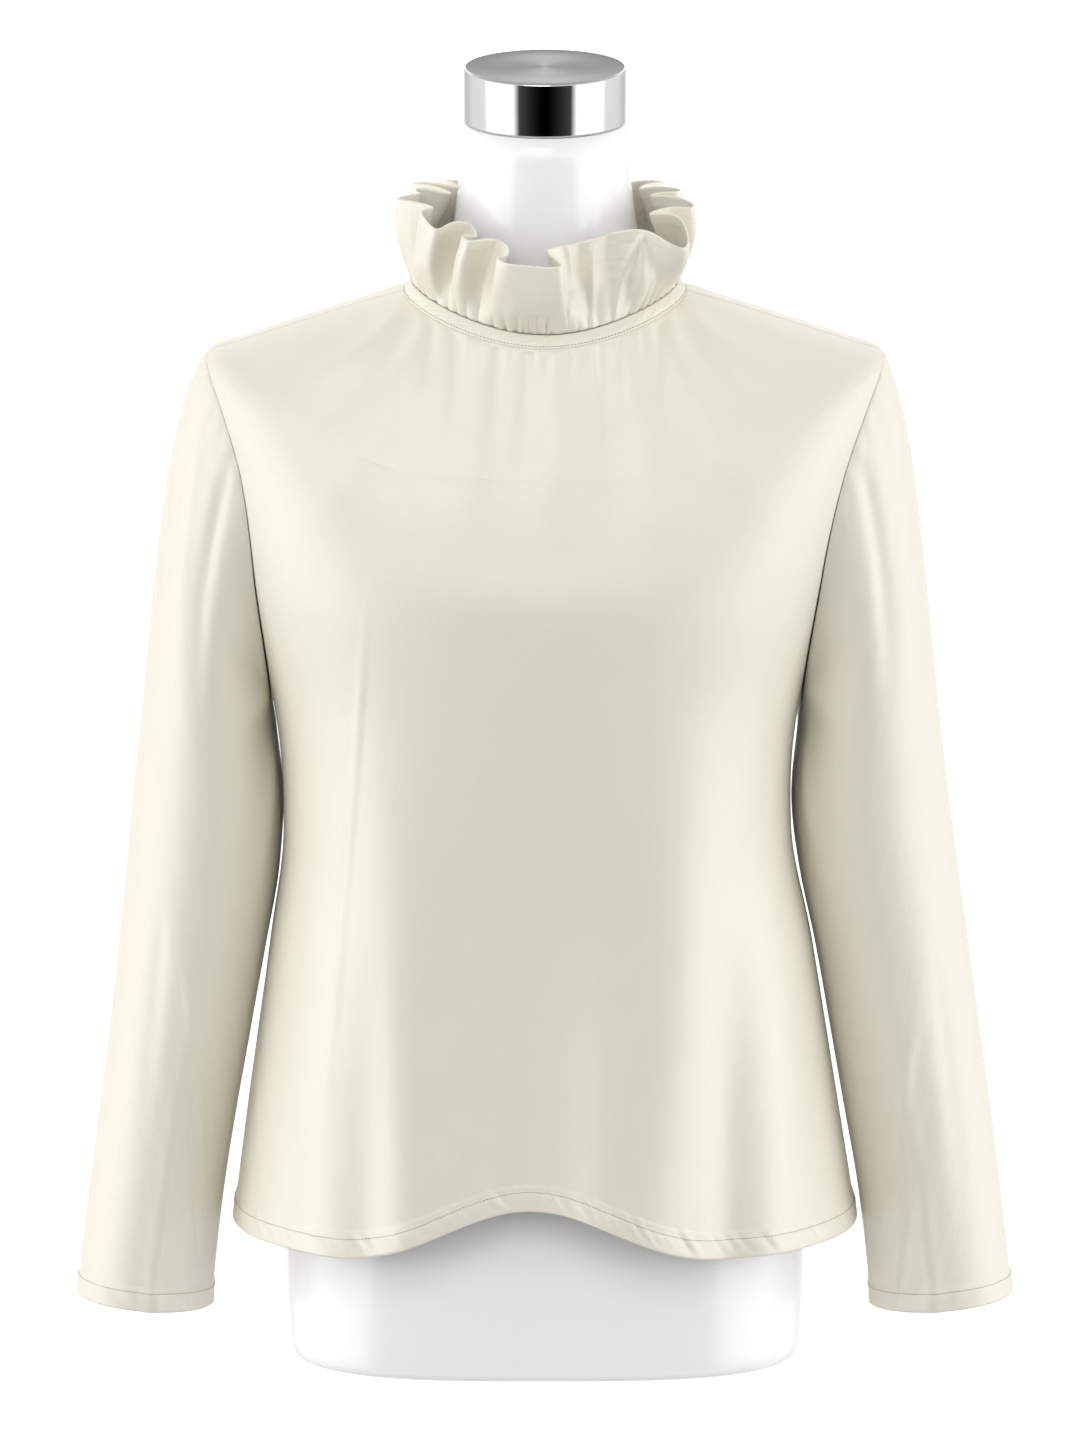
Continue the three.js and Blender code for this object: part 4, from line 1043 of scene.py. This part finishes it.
def halves_round_slit(points):
    """Both halves of the back panel, eased apart at the slit: grid, columns and cut rows."""
    middle, cut = points.shape[1] // 2, int(np.sum(PANEL_ROWS < SLIT_AT))
    half = SLIT_WIDTH / 2 * np.sqrt(np.clip(1 - PANEL_ROWS / SLIT_AT, 0, 1))[:, None]
    for columns, outer, cuts in ((slice(0, middle + 1), 0, (None, cut)),
                                 (slice(middle, None), -1, (cut, None))):
        part = points[:, columns].copy()
        away = -np.sign(part[:, [outer], 0])
        part[..., 0] -= away * half * np.clip(1 - np.abs(part[..., 0]) / SLIT_EASE, 0, 1)
        yield part, columns, cuts


def build_panel(side):
    """The front or the back: creases, gathers and seams on its drape, and its turned hem."""
    points, sewn = panel_grid(side)
    normals = facing_out(points, sewn)
    x, z = points[..., 0], points[..., 2]
    across = lengths_across(points)
    beside = np.minimum(across, across[:, -1:] - across)
    relief = crease_height(CREASES[side], x, z) + gather_height(GATHERS[side], x, z, z[:1])
    relief = relief * smooth(0, SEAM_EASE, beside) + sewn_edge(beside, *SEAM_ROLL["panel"])
    points = points + normals * relief[..., None]
    points = turned_hem(points, facing_out(points, sewn), across, HEM_WAVES)
    normals = facing_out(points, sewn)
    wall = np.where(PANEL_ROWS > PANEL_HEM_AT, HEM_WALL, PANEL_WALL)[:, None]
    shell = Shell()
    if side == "front":
        shell.add(points, normals, wall)
    else:
        for part, columns, cuts in halves_round_slit(points):
            shell.add(part, normals[:, columns], wall, cut=cuts)
    piece = shell.build(side + "_cloth", [CLOTH])
    merge_doubles(piece)
    return finished(piece, "blouse_cloth", side + "_panel"), hem_stitch_run(points, normals)


def one_sheet(name, node, points, normals, wall, closed=False):
    """A cloth piece of a single grid."""
    shell = Shell()
    shell.add(points, normals, wall, closed=closed)
    return finished(shell.build(name, [CLOTH]), "blouse_cloth", node)


def sleeve_relief(points, hand):
    """Eased gathers at the head, the seam along the inside of the arm, and the soft folds."""
    down = lengths_down(points)
    turn = SLEEVE_ROUND / 360 * 2 * np.pi
    top = np.exp(-(np.minimum(SLEEVE_ROUND, 360 - SLEEVE_ROUND) / SLEEVE_EASE["reach"]) ** 4)
    ease = SLEEVE_EASE["height"] * np.sin(turn * SLEEVE_EASE["count"] + 1.1 * np.sin(SLEEVE_ROUND / 57))
    ease = ease * top * bell(down - SLEEVE_EASE["down"], SLEEVE_EASE["width"])
    sink = SLEEVE_HEAD_SINK["depth"] * bell(down, SLEEVE_HEAD_SINK["width"])
    seam = sewn_edge(SLEEVE_ROUND - SLEEVE_SEAM, *SEAM_ROLL["sleeve"])
    shift, stretch = SLEEVE_FOLDS_MOVED[SIDE[hand]]
    arc = np.broadcast_to(SLEEVE_ROUND * MM_PER_DEGREE + shift, down.shape)
    folds = crease_height(SLEEVE_CREASES, arc, down * stretch) * smooth(0, 12, down)
    return ease - sink + seam + folds


def build_sleeve(hand):
    """A sleeve, all round, with its folds and its turned cuff."""
    points = sleeve_grid(hand)
    normals = grid_normals(points, points - points.mean(axis=1, keepdims=True), closed=True)
    points = points + normals * sleeve_relief(points, hand)[..., None]
    ring = np.linalg.norm(np.roll(points[-1], -1, axis=0) - points[-1], axis=1).sum()
    waves = [(ring / count, height) for count, height in CUFF_WAVES]
    points = turned_hem(points, normals, lengths_across(points, closed=True)[:, :-1], waves)
    normals = grid_normals(points, points - points.mean(axis=1, keepdims=True), closed=True)
    wall = np.where(SLEEVE_DOWNS > SLEEVE_HEM_AT, HEM_WALL, PANEL_WALL)[:, None]
    piece = one_sheet(SIDE[hand] + "_sleeve_cloth", SIDE[hand] + "_sleeve", points, normals, wall, True)
    return piece, hem_stitch_run(points, normals, closed=True)


def build_binding():
    """The bias band round the neck: rounded, and strained into small slanting ripples."""
    around = np.linspace(-180 + NECK_OPENING, 180 - NECK_OPENING, 640)
    downs = np.linspace(*BINDING_SPAN, 13)
    points = neck_ring(*np.meshgrid(around, downs))
    normals = grid_normals(points, from_axis(points))
    across = lengths_across(points)
    share = (downs[:, None] - downs[0]) / (downs[-1] - downs[0])
    strain = sum(height * np.sin((across + lean * share) * 2 * np.pi / wave)
                 for wave, lean, height in BINDING_STRAIN)
    press = -BINDING_PRESS["depth"] * bell(1 - share - BINDING_PRESS["up"], BINDING_PRESS["width"])
    points = points + normals * (strain * np.sin(np.pi * share) + press)[..., None]
    normals = grid_normals(points, from_axis(points))
    crown = np.sin(np.pi * share) ** BINDING_CROWN["power"]
    wall = BINDING_WALL * mix(BINDING_CROWN["edge"], 1, crown)
    piece = one_sheet("binding_cloth", "neck_binding", points, normals, wall)
    line, out = row_above_foot(BINDING_STITCH_LINE, (points, normals))
    return piece, [(line + out * BINDING_WALL * 0.5, out)]


RUFFLE_UPS = np.concatenate([
    np.linspace(0, 0.3, 11, endpoint=False),
    np.linspace(0.3, 0.84, 13, endpoint=False),
    np.linspace(0.84, 1, 10),
])
STEPS_PER_BEND = 14


def build_ruffle():
    """The gathered strip that stands on the neck seam, with its folds and its narrow hem."""
    alongs = np.linspace(0, LAST_BEND, int(LAST_BEND) * STEPS_PER_BEND + 1)
    points = ruffle_point(*np.meshgrid(alongs, RUFFLE_UPS))
    outwards = outwards_at(read(RUFFLE_BENDS, "index", "seam", alongs))
    at_seam = outwards * (RUFFLE_UPS == 0)[:, None, None]
    normals = grid_normals(points, at_seam)
    from_edge = (1 - RUFFLE_UPS[:, None]) * RUFFLE_WIDTH
    above_hem = from_edge - RUFFLE_HEM_DEPTH
    slant = (lengths_across(points) + RUFFLE_HEM["lean"] * from_edge) * 2 * np.pi
    ripple = RUFFLE_HEM["ripple"] * np.sin(slant / RUFFLE_HEM["wave"])
    ripple = ripple * bell(above_hem, RUFFLE_HEM["reach"])
    press = -RUFFLE_HEM["press"] * bell(above_hem + 0.6, 0.8)
    facing = smooth(0.1, 0.5, np.sum(normals * outwards, -1)) * (points[..., 1] < 0)
    folds = crease_height(RUFFLE_CREASES, points[..., 0], RUFFLE_WIDTH - from_edge) * facing
    points = points + normals * (ripple + press + folds)[..., None]
    normals = grid_normals(points, at_seam)
    wall = mix(RUFFLE_HEM_WALL, RUFFLE_WALL, smooth(-0.7, 0.3, above_hem))
    wall = np.broadcast_to(wall, points.shape[:2])
    piece = one_sheet("ruffle_cloth", "neck_ruffle", points, normals, wall)
    ups = np.broadcast_to(RUFFLE_UPS[:, None], points.shape[:2])
    stitched_at = 1 - RUFFLE_HEM["stitches"] / RUFFLE_WIDTH
    line, out = row_at(stitched_at, ups, (points, normals))
    face = out * RUFFLE_HEM_WALL * 0.44
    return piece, [(line + face, out), (line - face, -out)]


# ---------------- button, form and cap


def solid_of_rings(name, rings, materials, material_of_ring=None):
    """Closed body through rings of points, with a flat fan at each end."""
    count, sides = rings.shape[:2]
    r, c = (part.ravel() for part in np.meshgrid(np.arange(count - 1), np.arange(sides), indexing="ij"))
    beside = (c + 1) % sides
    quads = np.stack([r * sides + c, r * sides + beside, (r + 1) * sides + beside, (r + 1) * sides + c], -1)
    points = np.concatenate([rings.reshape(-1, 3), rings[:1].mean(axis=1), rings[-1:].mean(axis=1)])
    bottom, top = count * sides, count * sides + 1
    here = np.arange(sides)
    after = (here + 1) % sides
    last = (count - 1) * sides
    fans = [[bottom, int(b), int(a)] for a, b in zip(here, after)]
    fans += [[top, int(last + a), int(last + b)] for a, b in zip(here, after)]
    piece = new_object(name, points, quads.tolist() + fans, None, materials)
    if material_of_ring is not None:
        index = list(np.asarray(material_of_ring)[r]) + [material_of_ring[0]] * sides
        index += [material_of_ring[-1]] * sides
        piece.data.polygons.foreach_set("material_index", index)
    return piece


def lathe(profile, sides):
    """Rings of a turned shape round Z, from (radius, height) pairs."""
    turn = np.arange(sides) * 2 * np.pi / sides
    return np.array([np.stack([r * np.cos(turn), r * np.sin(turn), np.full(sides, z)], -1)
                     for r, z in profile])


def rounded(profile, softness, steps=5):
    """A profile whose inner corners are softened by short arcs."""
    points = [np.array(p, float) for p in profile]
    out = [points[0]]
    for before, corner, after in zip(points, points[1:], points[2:]):
        sides = [np.linalg.norm(corner - before), np.linalg.norm(after - corner)]
        reach = min(softness, *(0.45 * side for side in sides))
        start = corner + unit(before - corner) * reach
        end = corner + unit(after - corner) * reach
        for t in np.linspace(0, 1, steps):
            out.append(start * (1 - t) ** 2 + corner * 2 * t * (1 - t) + end * t * t)
    return out + [points[-1]]


def fastening_frame():
    """Origin and axes on the outside of the binding, beside the centre back opening."""
    at = BUTTON["down"]
    per_degree = np.linalg.norm(neck_ring(179, at) - neck_ring(178, at))
    around = 180 - BUTTON["from_centre"] / per_degree
    off = surface_normal(neck_ring, np.array(around), np.array(at), step_u=1, step_v=0.02)
    along = unit(neck_ring(around - 1, at) - neck_ring(around + 1, at))
    down = np.cross(off, along)
    return neck_ring(around, at) + off * (BINDING_WALL / 2 + SEAM_GAP), np.stack([along, down, off])


def build_button():
    """A dished pearl button, sewn on with two threads across its middle."""
    radius, thick = BUTTON["radius"], BUTTON["thick"]
    origin, axes = fastening_frame()
    profile = [(radius * 0.2, 0), (radius * 0.8, 0), (radius, thick * 0.35), (radius, thick * 0.7),
               (radius * 0.84, thick), (radius * 0.62, thick * 0.78), (radius * 0.1, thick * 0.7)]
    rings = lathe(rounded(profile, 0.5), 64) @ axes + origin
    piece = solid_of_rings("pearl_button", rings, [pearl_material()])
    finished(piece, "button_pearl", "back_button")
    runs = []
    for offset in (-0.55, 0.55):
        line = np.array([[-1.0, offset, thick * 0.76], [1.0, offset, thick * 0.76]]) @ axes + origin
        runs.append((line, np.repeat(axes[2:], 2, axis=0)))
    stitches("button_threads", runs)


def build_form():
    """The dress form, from its flat foot to the top of its neck."""
    ats = np.concatenate([
        np.linspace(0, 0.08, 18, endpoint=False),
        np.linspace(0.08, 0.7, 60, endpoint=False),
        np.linspace(0.7, 1, 64),
    ])
    around = np.linspace(0, 360, 192, endpoint=False)
    rings = section_point(section_at(FORM_RINGS, ats[:, None]), around[None, :])
    rings[0] = from_axis(rings[0])
    piece = solid_of_rings("dress_form_shell", rings, [form_material()])
    return finished(piece, "form_shell", "dress_form")


def build_cap():
    """The cap on the form's neck: a polished band, and a spun top a little below its rim."""
    base = NECK_TOP_Z + SEAM_GAP
    top_z = CAP_HEIGHT - 0.12
    band = rounded([(CAP_RADIUS - 1.2, 0), (CAP_RADIUS, 1.0), (CAP_RADIUS, CAP_HEIGHT - 1.2),
                    (CAP_RADIUS - 1.6, CAP_HEIGHT)], 0.9, 7)
    top = [(CAP_RADIUS - 1.9, CAP_HEIGHT), (CAP_RADIUS - 2.3, top_z), (30, top_z), (8, top_z), (0.4, top_z)]
    rings = lathe([(r, z + base) for r, z in band + top], 180)
    looks = [0] * (len(band) - 1) + [1] * (len(top) + 1)
    piece = solid_of_rings("cap_metal_shell", rings, [chrome_material(), spun_material()], looks)
    return finished(piece, "cap_metal", "neck_cap")


# ---------------- making
front, front_runs = build_panel("front")
back, back_runs = build_panel("back")
right, right_runs = build_sleeve(-1)
left, left_runs = build_sleeve(1)
binding, binding_runs = build_binding()
ruffle, ruffle_runs = build_ruffle()
build_form()
build_cap()
build_button()

front_stitches = stitches("front_hem_stitches", front_runs)
back_stitches = stitches("back_hem_stitches", back_runs)
right_stitches = stitches("right_cuff_stitches", right_runs)
left_stitches = stitches("left_cuff_stitches", left_runs)
binding_stitches = stitches("binding_stitches", binding_runs)
ruffle_stitches = stitches("ruffle_hem_stitches", ruffle_runs, RUFFLE_STITCH_RADIUS, PALE_THREAD)

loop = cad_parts["button_loop"]
loop.data.materials.clear()
loop.data.materials.append(THREAD)

# ---------------- studio
VIEW_HEIGHT = 0.878
LENS = 1000
SENSOR_WIDTH = 36
ELEVATION = 13.2
TARGET = AXIS + np.array([-0.0012, 0, 0.3758 / cosd(ELEVATION)])
# Levels of the studio's surroundings: by height from straight down (0) to straight up (1), by
# turn from straight behind (0) to straight ahead (1), and how far the turn counts at a height.
SKY_BY_HEIGHT = ((0, 0.3), (0.22, 0.45), (0.36, 0.95), (0.5, 1), (0.62, 0.85), (0.75, 0.42), (1, 0.26))
SKY_BY_TURN = ((0, 0.7), (0.07, 0.35), (0.22, 0.55), (0.45, 0.6), (0.54, 1), (0.84, 1), (0.9, 0.04), (1, 0))
SKY_BAND = ((0.16, 0), (0.28, 1), (0.58, 1), (0.7, 0))
SKY_STRENGTH = 2.3
FLOOR_REACH = 30


def place_camera():
    """The photograph's view: from straight ahead, looking down by the camera's elevation."""
    data = bpy.data.cameras.new("camera")
    data.lens = LENS
    data.sensor_width = SENSOR_WIDTH
    data.clip_end = 200
    camera = bpy.data.objects.new("camera", data)
    distance = VIEW_HEIGHT * LENS / SENSOR_WIDTH
    camera.location = TARGET + distance * np.array([0, -cosd(ELEVATION), sind(ELEVATION)])
    camera.rotation_euler = (math.radians(90 - ELEVATION), 0, 0)
    bpy.context.scene.collection.objects.link(camera)
    bpy.context.scene.camera = camera


def area_light(name, place, aim, size, power):
    data = bpy.data.lights.new(name, "AREA")
    data.shape = "RECTANGLE"
    data.size, data.size_y = size
    data.energy = power
    light = bpy.data.objects.new(name, data)
    light.location = place
    away = np.array(place) - np.array(aim)
    light.rotation_euler = (math.atan2(np.hypot(away[0], away[1]), away[2]), 0,
                            math.atan2(away[0], -away[1]))
    bpy.context.scene.collection.objects.link(light)
    return light


def make_floor():
    """The pale floor. It throws no light on the piece and isn't mirrored in it."""
    mesh = bpy.data.meshes.new("floor")
    corners = [(x * FLOOR_REACH, y * FLOOR_REACH, 0) for x, y in ((-1, -1), (1, -1), (1, 1), (-1, 1))]
    mesh.from_pydata(corners, [], [(0, 1, 2, 3)])
    mesh.materials.append(floor_material())
    floor = bpy.data.objects.new("floor", mesh)
    bpy.context.scene.collection.objects.link(floor)
    floor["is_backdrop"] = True
    floor.visible_diffuse = False
    floor.visible_glossy = False


def grey_ramp(tree, value, stops):
    """A ramp of greys, from pairs of position and level."""
    return colour_ramp(tree, value, [(position, (level,) * 3) for position, level in stops])


def studio_world():
    """Soft boxes all round: bright above and at both sides, dim below and dark straight ahead."""
    world = bpy.data.worlds.new("studio")
    world.use_nodes = True
    tree = world.node_tree
    way = add_node(tree, "ShaderNodeTexCoord").outputs["Generated"]
    height = add_node(tree, "ShaderNodeSeparateXYZ", {0: way}).outputs["Z"]
    level = add_node(tree, "ShaderNodeMapRange", {0: height, 1: -1.0, 2: 1.0}).outputs[0]
    flat = add_node(tree, "ShaderNodeVectorMath", {0: way, 1: (1, 1, 0)}, operation="MULTIPLY").outputs[0]
    turned = add_node(tree, "ShaderNodeVectorMath", {0: flat}, operation="NORMALIZE").outputs[0]
    ahead = add_node(tree, "ShaderNodeVectorMath", {0: turned, 1: (0, -1, 0)}, operation="DOT_PRODUCT")
    share = add_node(tree, "ShaderNodeMapRange", {0: ahead.outputs["Value"], 1: -1.0, 2: 1.0}).outputs[0]
    base = grey_ramp(tree, level, SKY_BY_HEIGHT)
    boxes = grey_ramp(tree, share, SKY_BY_TURN)
    band = grey_ramp(tree, level, SKY_BAND)
    mixed = add_node(tree, "ShaderNodeMix", {0: band, 6: (1, 1, 1, 1), 7: boxes}, data_type="RGBA")
    total = add_node(tree, "ShaderNodeMix", {0: 1.0, 6: base, 7: mixed.outputs[2]}, data_type="RGBA",
                     blend_type="MULTIPLY")
    plug(tree, tree.nodes["Background"], {"Color": total.outputs[2], "Strength": SKY_STRENGTH})
    return world


place_camera()
area_light("key", place=(-0.5, -2.3, 2.6), aim=(0, 0, 0.45), size=(1.8, 1.4), power=19)
for name, x in (("right_fill", -3), ("left_fill", 3)):
    fill = area_light(name, place=(x, -0.6, 0.35), aim=(0, 0, 0.35), size=(1.6, 1.2), power=13)
    fill.visible_glossy = False
make_floor()
bpy.context.scene.world = studio_world()
bpy.context.scene.view_settings.view_transform = "Standard"

[[list(map(float, corner)) for corner in box] for box in (CAD_BOX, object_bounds())]
